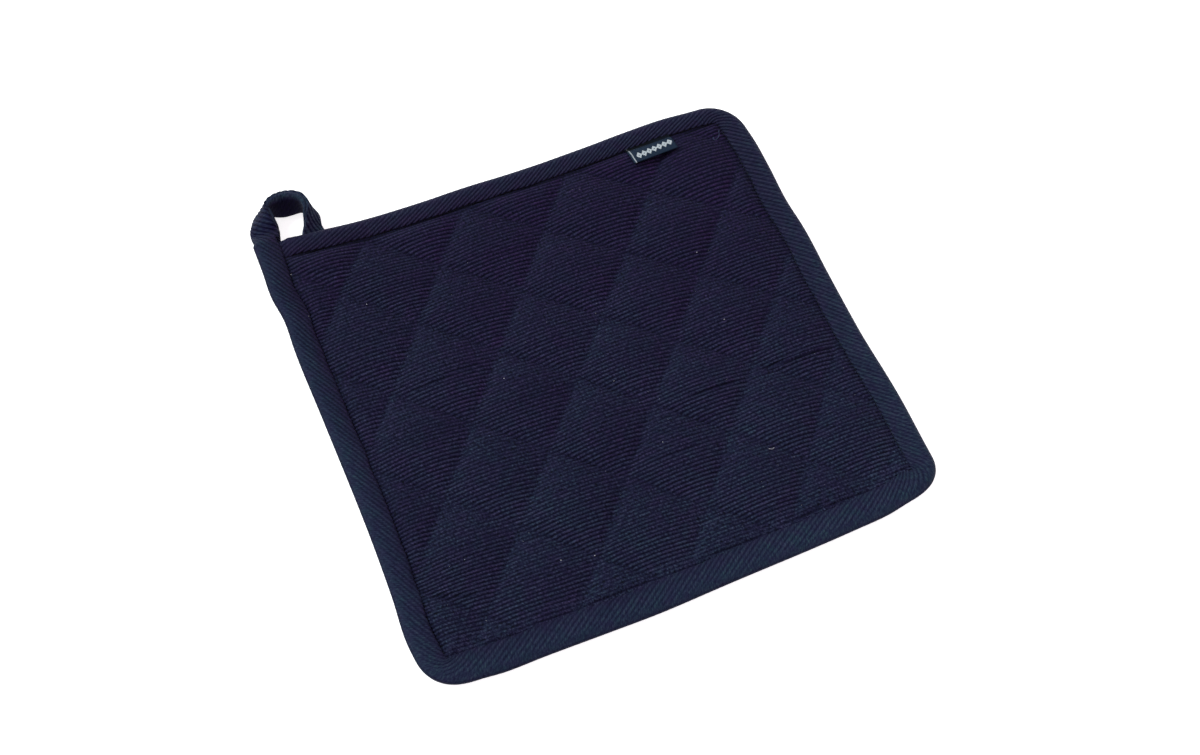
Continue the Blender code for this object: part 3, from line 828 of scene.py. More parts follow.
def wall_points(rows, place, section, in_hollow):
    """Points of the strip's wall at places along it, on its outside or in its hollow."""
    values = [np.interp(place, rows[:, 0], rows[:, k]) for k in range(1, rows.shape[1])]
    edge, seam, face = (np.stack(values[k:k + 3], axis=-1) for k in (0, 3, 6))
    outer, inner, fold = values[9:]
    width = np.linalg.norm(seam - edge, axis=-1)
    bend = FOLD_ROUND * outer
    swell = STRIP_SWELL * ripples(place, 0 * place, STRIP_SWELL_LENGTH, STRIP_SWELL_SEED, count=8)
    distance = fold + bend * section[:, 0] + (width - fold - bend) * section[:, 1]
    height = section[:, 2] * (inner if in_hollow else outer * (1 + swell * (section[:, 2] > 0)))
    return edge + (seam - edge) * (distance / width)[..., None] + face * height[..., None]


def strip_looks(along, marks, section, face_lip):
    """How ribbed each point of the strip is, how pale from fading and painted light, how much painted light
    reaches it, and whether its cloth is dull there, as it is on the loop and at the folded edge."""
    bent, share = section[:, 0], section[:, 1]
    on_loop = ramp((along - marks[4]) / LOOP_BLEND)
    back = np.arange(len(section)) < face_lip // 2
    rim = ramp((share - RIM_FROM) / RIM_RUN)

    def read(values):
        return np.interp(along, marks, values)

    from_fold = ramp((bent + share - FOLD_RIBBING_FROM) / FOLD_RIBBING_RUN)
    ribbed = read(RIBBING) * between(FOLD_RIBBING, 1, from_fold)
    ribbed *= np.where(back, between(1, LOOP_RIBBING, on_loop), 1)
    ribbed[:, face_lip + 1:] = 0
    # Paler and more teal towards the fold, as painted light and sheen; on the loop painted purple in the
    # shade of its inner face and pale on its lit rim.
    faded = np.clip(read(STRIP_FADE_AND_LIGHT) + read(EDGE_LIGHT_SPREAD) * (EDGE_LIGHT_MIDDLE - share), 0, 1)
    faded = between(faded, np.where(back, between(LOOP_SHADE_TINT, RIM_LIGHT_TINT, rim), LEG_FADE_AND_LIGHT), on_loop)

    # Painted light and shade on the legs, at the fold and by side; on the loop the inner face is painted
    # dark as shade and its rim painted light as a highlight.
    leg = np.interp(along, (marks[4], marks[4] + LEG_MIDDLE, marks[5]), LEG_SHADE)
    front = between(FOLD_SHADE, 1, ramp((bent + share) / FOLD_SHADE_RUN)) * read(SIDE_SHADE)
    front = front * between(1, leg, on_loop)
    shade = np.where(back, between(1, between(LOOP_SHADE, RIM_SHADE, rim), on_loop), front)
    lips = read(LIP_SHADE) * (1 + LOOP_LIP_LIGHT * on_loop)
    shade[:, (0, face_lip)] = lips[:, (0, face_lip)]
    shade[:, face_lip + 1:] = HOLLOW_SHADE
    shade[:, (face_lip + 1, -1)] += LOOP_HOLLOW_LIGHT * on_loop[:, (face_lip + 1, -1)]
    dull = np.maximum(on_loop, bent + share < FOLD_DULL)
    return {"ribbed": ribbed.ravel(), "faded": faded.ravel(), "shade": shade.ravel(), "dull": dull.ravel()}


def strip_mesh(pitch):
    """The strip and loop as one closed thin wall, in rings that follow the ribs of its cloth."""
    rows = strip_rows()
    outside, hollow = strip_outside(), np.array(STRIP_HOLLOW)
    unrolled = unrolled_outside(outside)
    in_hollow = np.linspace(unrolled[-1], unrolled[0], len(hollow))
    across, start, slant = strip_rings(rows, unrolled, pitch)
    points, along = [], []
    for section, unroll, inside in ((outside, unrolled, False), (hollow, in_hollow, True)):
        place = np.clip(start[:, None] + unroll[None, :] * slant[:, None], 0, rows[-1, 0])
        points.append(wall_points(rows, place, section, inside))
        along.append(place)
    points, along = np.concatenate(points, axis=1), np.concatenate(along, axis=1)
    looks = strip_looks(along, strip_marks(rows[:, 0]), np.vstack([outside, hollow]), len(outside) - 1)
    rings, size = along.shape
    obj = cloth_object("bias_strip", points.reshape(-1, 3), tube_faces(rings, size), along.ravel(),
                       np.repeat(across, size), **looks)
    close_ends(obj)
    return obj


def close_ends(obj):
    """Merges the points that share a place at a tube's two ends, and turns the faces out."""
    builder = bmesh.new()
    builder.from_mesh(obj.data)
    bmesh.ops.remove_doubles(builder, verts=builder.verts, dist=MERGE_POINTS * MM)
    bmesh.ops.dissolve_degenerate(builder, edges=builder.edges, dist=MERGE_EDGES * MM)
    bmesh.ops.recalc_face_normals(builder, faces=builder.faces)
    builder.to_mesh(obj.data)
    builder.free()


# ---- node helpers ----

def give(tree, node, inputs):
    """Gives a node's inputs values, or links them to other nodes' outputs."""
    for key, value in inputs.items():
        if isinstance(value, bpy.types.NodeSocket):
            tree.links.new(value, node.inputs[key])
        else:
            node.inputs[key].default_value = value


def add_node(tree, kind, inputs=None, **settings):
    """Adds a node with its properties and inputs."""
    node = tree.nodes.new(kind)
    for name, value in settings.items():
        setattr(node, name, value)
    give(tree, node, inputs or {})
    return node


def maths(tree, operation, *values):
    """The result of a Math node on up to three values."""
    return add_node(tree, "ShaderNodeMath", dict(enumerate(values)), operation=operation).outputs[0]


def product(tree, value, *others):
    """Several values multiplied."""
    for other in others:
        value = maths(tree, "MULTIPLY", value, other)
    return value


def away_from(tree, value, middle):
    """How far a value is from a middle one."""
    return maths(tree, "ABSOLUTE", maths(tree, "SUBTRACT", value, middle))


def threads(tree, place, pitch=1.0):
    """1 on the crest of each thread, 0 between it and the next."""
    return maths(tree, "ABSOLUTE", maths(tree, "SINE", product(tree, place, math.pi / pitch)))


def ranged(tree, value, low, high):
    """A value from 0 to 1 spread from low to high."""
    return add_node(tree, "ShaderNodeMapRange", {"Value": value, "To Min": low, "To Max": high}).outputs[0]


def vector_scaled(tree, vector, amount):
    """A vector made longer or shorter."""
    return add_node(tree, "ShaderNodeVectorMath", {0: vector, "Scale": amount}, operation="SCALE").outputs[0]


def noise(tree, scale, detail=2.0, roughness=0.5, vector=None):
    """A noise texture's value at a vector, or at the point's own position."""
    inputs = {"Scale": scale, "Detail": detail, "Roughness": roughness}
    if vector is not None:
        inputs["Vector"] = vector
    return add_node(tree, "ShaderNodeTexNoise", inputs).outputs[0]


def new_tree(name, inputs):
    """A Geometry Nodes tree with named inputs: (name, kind of socket, default)."""
    tree = bpy.data.node_groups.new(name, "GeometryNodeTree")
    tree.interface.new_socket("Geometry", in_out="OUTPUT", socket_type="NodeSocketGeometry")
    tree.interface.new_socket("Geometry", in_out="INPUT", socket_type="NodeSocketGeometry")
    for label, kind, default in inputs:
        socket = tree.interface.new_socket(label, in_out="INPUT", socket_type="NodeSocket" + kind)
        if default is not None:
            socket.default_value = default
    return tree, tree.nodes.new("NodeGroupInput").outputs, tree.nodes.new("NodeGroupOutput")


def finish_tree(tree, geometry, material, output):
    """Ends a tree in Realize Instances, smooth shading and Set Material."""
    real = add_node(tree, "GeometryNodeRealizeInstances", {"Geometry": geometry})
    smooth = add_node(tree, "GeometryNodeSetShadeSmooth", {"Geometry": real.outputs[0]})
    painted = add_node(tree, "GeometryNodeSetMaterial", {
        "Geometry": smooth.outputs[0], "Material": material})
    tree.links.new(painted.outputs[0], output.inputs[0])
    return tree


def apply_tree(obj, tree_name, builder, values):
    """Runs a tree, made once, on an object with the given inputs, and leaves a plain mesh in its
    place."""
    tree = bpy.data.node_groups.get(tree_name) or builder(tree_name)
    modifier = obj.modifiers.new(tree_name, "NODES")
    modifier.node_group = tree
    for item in tree.interface.items_tree:
        if item.item_type == "SOCKET" and item.in_out == "INPUT" and item.name in values:
            modifier[item.identifier] = values[item.name]
    graph = bpy.context.evaluated_depsgraph_get()
    mesh = bpy.data.meshes.new_from_object(obj.evaluated_get(graph), depsgraph=graph)
    name = obj.name
    bpy.data.objects.remove(obj)
    mesh.name = name
    return new_object(name, mesh)


def ribs_tree(name):
    """Sinks the grooves between the ribs of a cloth, along its normals, from the rib counts that
    its points carry. The ribs' crests stay where the cloth was."""
    tree, given, output = new_tree(name, [
        ("Rib Height", "Float", 0.0003),
        ("Roundness", "Float", RIB_ROUNDNESS),
        ("Unevenness", "Float", RIB_UNEVENNESS),
        ("Material", "Material", None),
    ])
    across, ribbed = (
        add_node(tree, "GeometryNodeInputNamedAttribute", {"Name": value}, data_type="FLOAT").outputs[0]
        for value in ("across", "ribbed"))
    crest = maths(tree, "POWER", threads(tree, across), given["Roundness"])
    uneven = maths(tree, "SUBTRACT", noise(tree, scale=160.0), 0.5)
    worn = maths(tree, "MULTIPLY_ADD", uneven, given["Unevenness"], 1.0)
    depth = product(tree, maths(tree, "SUBTRACT", 1.0, crest), given["Rib Height"], worn, ribbed)
    normal = add_node(tree, "GeometryNodeInputNormal")
    offset = vector_scaled(tree, normal.outputs[0], product(tree, depth, -1.0))
    moved = add_node(tree, "GeometryNodeSetPosition", {"Geometry": given["Geometry"], "Offset": offset})
    return finish_tree(tree, moved.outputs[0], given["Material"], output)


def stitches_tree(name):
    """Lays a stitch at even steps along each curve: a plump thread that tapers into the cloth."""
    tree, given, output = new_tree(name, [
        ("Stitch Length", "Float", 0.0024),
        ("Gap", "Float", 0.0006),
        ("Thread Width", "Float", 0.00034),
        ("Seed", "Int", 1),
        ("Material", "Material", None),
    ])
    places = add_node(tree, "GeometryNodeCurveToPoints", {
        "Curve": given["Geometry"], "Length": maths(tree, "ADD", given["Stitch Length"], given["Gap"]),
    }, mode="LENGTH")
    ahead = add_node(
        tree, "FunctionNodeAlignRotationToVector", {"Vector": places.outputs["Tangent"]}, axis="Z")
    sway = add_node(tree, "FunctionNodeRandomValue", {"Min": -0.12, "Max": 0.12, "Seed": given["Seed"]},
                    data_type="FLOAT")
    turned = add_node(tree, "FunctionNodeRotateRotation", {
        "Rotation": ahead.outputs[0],
        "Rotate By": add_node(tree, "ShaderNodeCombineXYZ", {"X": sway.outputs[1]}).outputs[0],
    }, rotation_space="LOCAL")
    thread = add_node(tree, "GeometryNodeMeshUVSphere", {"Segments": 6, "Rings": 6, "Radius": 0.5})
    size = add_node(tree, "ShaderNodeCombineXYZ", {
        "X": given["Thread Width"], "Y": given["Thread Width"], "Z": given["Stitch Length"],
    })
    laid = add_node(tree, "GeometryNodeInstanceOnPoints", {
        "Points": places.outputs["Points"],
        "Instance": thread.outputs["Mesh"],
        "Rotation": turned.outputs[0],
        "Scale": size.outputs[0],
    })
    return finish_tree(tree, laid.outputs[0], given["Material"], output)


def strand_tree(name):
    """A thin round strand along each curve."""
    tree, given, output = new_tree(name, [("Width", "Float", 0.0003), ("Material", "Material", None)])
    fine = add_node(
        tree, "GeometryNodeCurveSplineType", {"Curve": given["Geometry"]}, spline_type="CATMULL_ROM")
    spaced = add_node(
        tree, "GeometryNodeResampleCurve", {"Curve": fine.outputs[0], "Length": 0.0003}, mode="LENGTH")
    ring = add_node(tree, "GeometryNodeCurvePrimitiveCircle", {
        "Resolution": 6, "Radius": product(tree, given["Width"], 0.5)})
    tube = add_node(tree, "GeometryNodeCurveToMesh", {
        "Curve": spaced.outputs[0], "Profile Curve": ring.outputs[0], "Fill Caps": True})
    return finish_tree(tree, tube.outputs[0], given["Material"], output)


def lint_tree(name):
    """A small ragged tuft on each point, turned and sized at random."""
    tree, given, output = new_tree(name, [
        ("Size", "Float", 0.0006), ("Seed", "Int", 3), ("Material", "Material", None)])
    tuft = add_node(tree, "GeometryNodeMeshIcoSphere", {"Radius": 0.5, "Subdivisions": 2})
    push = vector_scaled(tree, add_node(tree, "GeometryNodeInputNormal").outputs[0],
                         maths(tree, "SUBTRACT", noise(tree, scale=3.0), 0.6))
    shaped = add_node(tree, "GeometryNodeSetPosition", {"Geometry": tuft.outputs["Mesh"], "Offset": push})
    turn = add_node(tree, "FunctionNodeRandomValue", {
        "Min": (0.0, 0.0, 0.0), "Max": (0.5, 0.5, 6.28), "Seed": given["Seed"]}, data_type="FLOAT_VECTOR")
    size = add_node(tree, "FunctionNodeRandomValue", {"Min": 0.55, "Max": 1.0, "Seed": given["Seed"]},
                    data_type="FLOAT")
    flat = add_node(tree, "ShaderNodeCombineXYZ", {0: 1.0, 1: 0.7, 2: 0.5})
    scale = vector_scaled(tree, flat.outputs[0], product(tree, size.outputs[1], given["Size"]))
    points = add_node(tree, "GeometryNodeMeshToPoints", {"Mesh": given["Geometry"]})
    laid = add_node(tree, "GeometryNodeInstanceOnPoints", {
        "Points": points.outputs[0], "Instance": shaped.outputs[0], "Rotation": turn.outputs[0],
        "Scale": scale})
    return finish_tree(tree, laid.outputs[0], given["Material"], output)


# ---- materials ----

# The two cloths: tone of a rib's groove, which is painted shade, and of its crest, which is partly paler
# yarn and partly painted highlight, and how coarse their grain is.
PAD_WEAVE = {"groove": (0.12, 1.57), "grain": 0.9}
STRIP_WEAVE = {"groove": (0.36, 1.42), "grain": 0.5}
CLOTH_GLOSS = 0.13
WORN_GLOSS = 0.03
# Short floats of yarn cross each rib: how often, and how far each rib's slip past the next.
FLOATS = {"per_mm": 0.8, "lean": 0.6, "slip": 0.37}
# How sharp a rib's crest is, how long its yarn's streaks are drawn, the lowest and highest tone of
# the floats, of the ribs and of the cloth's patches, and how rough it is.
CREST_SHARPNESS = 1.2
YARN_DRAW = 0.22
FLOAT_TONE = (0.80, 1.12)
RIB_TONE = (0.92, 1.08)
PATCH_TONE = (0.84, 1.16)
CLOTH_ROUGHNESS = (0.56, 0.74)
# How much each texture changes the tone, and what it adds to the relief.
GRAIN_TONE = {"yarn": 0.7, "blotch": 1.9, "fuzz": 1.9}
GRAIN_RELIEF = {"floats": 0.35, "blotch": 0.8, "fuzz": 0.6}
RIB_RELIEF_SHARE = 0.6
# A cloth coarser than the even grain shows more of it where its ribs lie flat.
FLAT_GRAIN = 2.2
EVEN_GRAIN = 0.5
LEAST_TONE = 0.04
# The colour is painted purple where the tone is dark and paler, whiter teal where it is light, the colour of
# shade and of lit sheen; the dye also turns a little in small patches.
HUE_BY_TONE = (0.8, -0.3)
HUE_DARK = (0.88, 0.60, 1.19)
HUE_LIGHT = (1.22, 1.27, 0.90)
CAST_SPREAD = (-1.0, 2.0)
CAST_PURPLE = (1.12, 0.86, 1.02)
CAST_TEAL = (0.88, 1.14, 0.98)
# Tones of a sewing thread's twist and of the satin's warp and weft, and how raised its figures are.
TWIST_TONE = (0.7, 1.3)
WARP_TONE = (0.85, 1.08)
WEFT_TONE = (0.72, 1.15)
FIGURE_RELIEF = 1.2


def new_material(name):
    """A material with its tree and its shader."""
    material = bpy.data.materials.new(name)
    material.use_nodes = True
    tree = material.node_tree
    return material, tree, tree.nodes["Principled BSDF"]


def mixed(tree, kind, share, first, second):
    """A colour mixed from two, each a colour or another node's output."""
    node = add_node(tree, "ShaderNodeMix", data_type="RGBA", blend_type=kind)
    for key, value in (("Factor", share), ("A", first), ("B", second)):
        socket = [s for s in node.inputs if s.name == key and s.enabled][0]
        if isinstance(value, bpy.types.NodeSocket):
            tree.links.new(value, socket)
        else:
            socket.default_value = value if key == "Factor" else (*value, 1.0)
    return [s for s in node.outputs if s.enabled][0]


def toned(tree, dye, tone):
    """A colour made lighter or darker."""
    grey = add_node(tree, "ShaderNodeCombineXYZ", {0: tone, 1: tone, 2: tone})
    return mixed(tree, "MULTIPLY", 1.0, dye, grey.outputs[0])


def bumped(tree, height, strength, distance):
    """A surface's direction with fine relief on it."""
    node = add_node(tree, "ShaderNodeBump", {"Strength": strength, "Distance": distance, "Height": height})
    return node.outputs[0]


def own_place(tree):
    """The place on the piece, in metres."""
    return add_node(tree, "ShaderNodeTexCoord").outputs["Object"]


def weave_place(tree):
    """The cloth's own coordinates, and U and V apart."""
    weave = add_node(tree, "ShaderNodeUVMap", uv_map="weave").outputs[0]
    parts = add_node(tree, "ShaderNodeSeparateXYZ", {0: weave})
    return weave, parts.outputs[0], parts.outputs[1]


def carried(tree, name):
    """A value that the cloth's points carry."""
    return add_node(tree, "ShaderNodeAttribute", attribute_name=name).outputs["Fac"]


def ribbed_cloth(name, deep, pale, weave, gloss=CLOTH_GLOSS):
    """Coarse twill in the cloth's own weave coordinates: U in millimetres along the ribs, V in ribs across
    them. Grooves are painted darker, as shade, and crests lighter, partly paler yarn and partly painted
    highlight, and each rib has its own tone, while short yarn floats, blotches and fine lint break up its
    crest. The dye is deep or pale by the cloth's fading and painted light, the tone takes the painted shade
    that its points carry, and the colour is painted purple in the dark and paler teal where it is light, as
    the colour of shade and of lit sheen."""
    material, tree, shader = new_material(name)
    spot, along, across = weave_place(tree)
    ribbed = carried(tree, "ribbed")
    rib = maths(tree, "FLOOR", across)
    crest = maths(tree, "POWER", threads(tree, across), CREST_SHARPNESS)
    slip = maths(tree, "MULTIPLY_ADD", rib, FLOATS["slip"], product(tree, across, FLOATS["lean"]))
    floats = threads(tree, maths(tree, "MULTIPLY_ADD", along, FLOATS["per_mm"], slip))
    rib_tone = add_node(tree, "ShaderNodeTexWhiteNoise", {"W": rib}, noise_dimensions="1D").outputs[0]
    drawn = add_node(tree, "ShaderNodeCombineXYZ", {0: product(tree, along, YARN_DRAW), 1: across})
    grain = {
        "yarn": noise(tree, scale=1.7, detail=3.0, vector=drawn.outputs[0]),
        "blotch": noise(tree, scale=1.1, roughness=0.6, vector=spot),
        "fuzz": noise(tree, scale=2.6, detail=3.0, roughness=0.7, vector=spot),
    }
    patch = noise(tree, scale=28.0, detail=3.0, vector=own_place(tree))

    # Painted shade in the grooves and painted highlight on the crests, as far as the points are ribbed.
    grooved = maths(tree, "SUBTRACT", ranged(tree, crest, *weave["groove"]), 1.0)
    tone = maths(tree, "MULTIPLY_ADD", grooved, ribbed, 1.0)
    tone = product(tree, tone, ranged(tree, floats, *FLOAT_TONE), ranged(tree, rib_tone, *RIB_TONE))
    extra = FLAT_GRAIN * (weave["grain"] - EVEN_GRAIN)
    coarser = maths(tree, "MULTIPLY_ADD", ribbed, -extra, 1 + extra)
    for kind, amount in GRAIN_TONE.items():
        uneven = ranged(tree, grain[kind], -amount * weave["grain"], amount * weave["grain"])
        tone = product(tree, tone, maths(tree, "MULTIPLY_ADD", uneven, coarser, 1.0))
    # The points' shade is painted light and shade, multiplied into the tone.
    tone = product(tree, tone, ranged(tree, patch, *PATCH_TONE), carried(tree, "shade"))
    tone = maths(tree, "MAXIMUM", tone, LEAST_TONE)
    # Painted colour of light and shade: purple in the dark, paler teal where it is light.
    hue = mixed(tree, "MIX", maths(tree, "MULTIPLY_ADD", tone, *HUE_BY_TONE), HUE_DARK, HUE_LIGHT)
    tint = noise(tree, scale=210.0, vector=own_place(tree))
    cast = mixed(tree, "MIX", ranged(tree, tint, *CAST_SPREAD), CAST_PURPLE, CAST_TEAL)
    # The pale dye stands for fading and for painted light, by the points' faded attribute.
    dye = mixed(tree, "MULTIPLY", 1.0, mixed(tree, "MIX", carried(tree, "faded"), deep, pale), cast)

    height = product(tree, crest, ribbed, RIB_RELIEF_SHARE)
    for kind, share in GRAIN_RELIEF.items():
        height = maths(tree, "MULTIPLY_ADD", {"floats": floats, **grain}[kind], share, height)
    give(tree, shader, {
        "Base Color": toned(tree, mixed(tree, "MULTIPLY", 1.0, dye, hue), tone),
        "Normal": bumped(tree, height, strength=0.8, distance=0.00024),
        "Roughness": ranged(tree, grain["yarn"], *CLOTH_ROUGHNESS),
        "Specular IOR Level": gloss,
        "Specular Tint": (0.62, 0.78, 1.0, 1.0),
        "Sheen Weight": 0.05,
        "Sheen Roughness": 0.45,
        "Sheen Tint": (0.75, 0.85, 1.0, 1.0),
    })
    return material


def thread_material(name, colour):
    """A twisted sewing thread."""
    material, tree, shader = new_material(name)
    twist = noise(tree, scale=900.0, vector=own_place(tree))
    give(tree, shader, {
        "Base Color": toned(tree, colour, ranged(tree, twist, *TWIST_TONE)),
        "Normal": bumped(tree, twist, strength=0.5, distance=0.00005),
        "Roughness": 0.8,
        "Specular IOR Level": 0.1,
    })
    return material


def label_material(ground, figure):
    """Satin tape: fine cross lines, a pale line at its left end, and a row of small lozenges.
    Its own coordinates are in millimetres: U across the label, V from the seam."""
    material, tree, shader = new_material("Label satin")
    _, across, along = weave_place(tree)
    middle, half, line_tone = LABEL_LINE
    line = product(tree, maths(tree, "LESS_THAN", away_from(tree, across, middle), half), line_tone)
    step = maths(tree, "FRACT", maths(tree, "DIVIDE", across, LOZENGE_PITCH))
    beside = product(tree, away_from(tree, step, 0.5), LOZENGE_SLOPES[0])
    fall = (LABEL_ROW[1] - LABEL_ROW[0]) / LABEL_WIDTH
    row_middle = maths(tree, "MULTIPLY_ADD", across, fall, LABEL_ROW[0])
    above = product(tree, away_from(tree, along, row_middle), LOZENGE_SLOPES[1])
    out = maths(tree, "ADD", beside, above)
    middle, half = LOZENGE_ROW
    row = product(
        tree, maths(tree, "LESS_THAN", out, LOZENGE_EDGE), maths(tree, "GREATER_THAN", out, LOZENGE_HOLE),
        maths(tree, "LESS_THAN", away_from(tree, across, middle), half))
    pick = maths(tree, "MAXIMUM", row, line)
    warp, weft = threads(tree, across, SATIN_PITCH[0]), threads(tree, along, SATIN_PITCH[1])
    tone = product(
        tree, ranged(tree, weft, *WEFT_TONE), ranged(tree, warp, *WARP_TONE), carried(tree, "shade"))
    height = maths(tree, "MULTIPLY_ADD", pick, FIGURE_RELIEF, product(tree, weft, warp))
    give(tree, shader, {
        "Base Color": toned(tree, mixed(tree, "MIX", pick, ground, figure), tone),
        "Normal": bumped(tree, height, strength=0.5, distance=0.00008),
        "Roughness": 0.6,
        "Specular IOR Level": 0.08,
    })
    return material


# ---- pieces ----

def make_pad(cloth, sizes):
    base = pad_mesh(cloth.rib_pitch / MM, sizes.puff_rise / MM)
    material = ribbed_cloth("Ribbed navy cloth", cloth.pad_colour, cloth.faded_and_lit_colour, PAD_WEAVE)
    pad = apply_tree(base, "Cloth ribs", ribs_tree, {"Rib Height": cloth.rib_height, "Material": material})
    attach(pad, BODY)
    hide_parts("quilted_pad")


def make_strip(cloth):
    """The strip and loop, with a duller cloth where its dull attribute says so."""
    plain, worn = (
        ribbed_cloth(name, cloth.strip_colour, cloth.faded_and_lit_colour, STRIP_WEAVE, gloss)
        for name, gloss in (("Bias strip cloth", CLOTH_GLOSS), ("Worn strip cloth", WORN_GLOSS)))
    strip = apply_tree(strip_mesh(cloth.strip_pitch / MM), "Cloth ribs", ribs_tree, {
        "Rib Height": cloth.rib_height * STRIP_RIB_SHARE, "Material": plain,
    })
    strip.data.materials.append(worn)
    dull = np.zeros(len(strip.data.vertices), np.float32)
    strip.data.attributes["dull"].data.foreach_get("value", dull)
    for face in strip.data.polygons:
        face.material_index = int(dull[face.vertices[0]] > 0.5)
    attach(strip, BODY)
    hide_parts("binding", "hanging_loop")


def poly_curves(name, paths):
    """An object with a curve of straight steps along each path."""
    curve = bpy.data.curves.new(name, "CURVE")
    curve.dimensions = "3D"
    for path in paths:
        spline = curve.splines.new("POLY")
        spline.points.add(len(path) - 1)
        for point, place in zip(spline.points, path):
            point.co = (*place, 1)
    return new_object(name, curve)


# Each stitch line is followed this far both ways from its own normal, in these steps. It is sewn
# where it is more than STITCH_INSET inside the seams, if that is more than SHORTEST_LINE steps, and
# laid on the cloth at every STITCH_STEP.
LINE_REACH = 170
LINE_STEP = 0.5
STITCH_INSET = 0.4
STITCH_STEP = 1.0
SHORTEST_LINE = 8
# From where a ray looks for the cloth, in metres: above it, and under it.
ABOVE_PAD = 0.03
UNDER_PAD = -0.01
ABOVE_CLOTH = 0.05


def stitch_paths(pad, from_above):
    """The places in metres of each stitch line on the pad's face or back."""
    surface = BVHTree.FromObject(pad, bpy.context.evaluated_depsgraph_get())
    start, ray = (ABOVE_PAD, (0, 0, -1)) if from_above else (UNDER_PAD, (0, 0, 1))
    reach = np.arange(-LINE_REACH, LINE_REACH + LINE_STEP / 2, LINE_STEP)
    for at, normal in QUILT_DOWN + QUILT_UP:
        ahead = np.array([normal[1], -normal[0]])
        inside = reach[seam_distance(at + reach[:, None] * ahead) > STITCH_INSET]
        if len(inside) <= SHORTEST_LINE:
            continue
        points = []
        for run in np.arange(inside[0], inside[-1], STITCH_STEP):
            x, y = (at + run * ahead) * MM
            points.append((x, y, surface.ray_cast((x, y, start), ray)[0].z))
        points = np.array(points)
        points[1:-1, 2] = np.convolve(points[:, 2], np.ones(3) / 3, mode="valid")
        yield points


def make_stitches(cloth, sizes):
    pad = bpy.data.objects["quilted_cloth"]
    thread = thread_material("Navy thread", cloth.thread_colour)
    for name, from_above, seed in (("face_stitches", True, 1), ("back_stitches", False, 2)):
        made = apply_tree(poly_curves(name, stitch_paths(pad, from_above)), "Stitches", stitches_tree, {
            "Stitch Length": sizes.stitch_length, "Gap": sizes.stitch_gap,
            "Thread Width": sizes.thread_width, "Seed": seed, "Material": thread,
        })
        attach(made, BODY)


def label_section():
    """The label's section from its root in the seam, over its folded end and back, inside last:
    (place along the label, height from its middle)."""
    half = LABEL_THICK / 2
    inner = half - LABEL_LAYER * LABEL_THICK
    turn = np.linspace(math.pi / 2, -math.pi / 2, LABEL_FOLD_STEPS)
    run = np.linspace(0, LABEL_LENGTH - half, LABEL_SECTION_STEPS)
    over = np.column_stack([run, np.full(len(run), half)])
    fold = np.column_stack([LABEL_LENGTH - half + half * np.cos(turn), half * np.sin(turn)])[1:-1]
    under = (over * (1, -1))[::-1]
    ends = run[[0, len(run) // 2, -1]]
    inside = [(place, -inner) for place in ends] + [(place, inner) for place in ends[::-1]]
    return np.vstack([over, fold, under, inside])


def label_mesh():
    """The woven label: a tape folded in two, its ends in the seam and its fold free."""
    place, height = label_section().T
    share = place / LABEL_LENGTH
    across = np.linspace(0, LABEL_WIDTH, LABEL_COLUMNS)
    run = np.linspace(0, LABEL_LENGTH, LABEL_ROWS)
    seams = HALF_H + side_wave("top", LABEL_LEFT + across) - LABEL_INSET
    plans = [np.column_stack([0 * run + LABEL_LEFT + u, seam - run]) for u, seam in zip(across, seams)]
    rest = np.array([np.maximum.accumulate(face_height(plan, PUFF_RISE)) for plan in plans])
    rest = np.maximum(rest, rest.max(axis=0) - LABEL_SAG)
    amount, turns, phase = LABEL_CURL
    points, places = [], []
    for u, seam, floor in zip(across, seams, rest):
        curl = LABEL_RISE * share**2 + amount * share * math.sin(u / LABEL_WIDTH * turns + phase)
        z = np.interp(place, run, floor) + LABEL_THICK / 2 + LABEL_GAP + curl + height
        reach = place * (1 - LABEL_SLANT * u / LABEL_WIDTH)
        points.append(np.column_stack([LABEL_LEFT + u + LABEL_SKEW * share, seam - reach, z]))
        places.append(np.column_stack([np.full(len(place), u), place]))
    faces = tube_faces(len(across), len(place), turned=True)
    u, v = np.vstack(places).T
    # Painted shadow of the strip's lip over the label's root.
    least, start, over = LABEL_ROOT_SHADE
    shade = between(least, 1, ramp((v - start) / over))
    obj = cloth_object("woven_label", np.vstack(points), faces, u, v, ribbed=0.0, faded=0.0, shade=shade)
    close_ends(obj)
    return obj


def make_label(cloth):
    label = label_mesh()
    label.data.materials.append(label_material(cloth.label_colour, cloth.figure_colour))
    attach(label, BODY)
    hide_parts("label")


def on_cloth(places, above):
    """Places in plan, in millimetres, put on the highest cloth there, in metres."""
    graph = bpy.context.evaluated_depsgraph_get()
    cloths = [bpy.data.objects[name] for name in ("quilted_cloth", "bias_strip")]
    surfaces = [BVHTree.FromObject(cloth, graph) for cloth in cloths]
    points = []
    for x, y in places:
        hits = [surface.ray_cast((x * MM, y * MM, ABOVE_CLOTH), (0, 0, -1))[0] for surface in surfaces]
        top = max(hit.z for hit in hits if hit is not None)
        points.append((x * MM, y * MM, top + above * MM))
    return points


# Shares of a strand's width and of a tuft's size by which its middle is above the cloth.
STRAND_ABOVE = 0.45
TUFT_ABOVE = 0.1


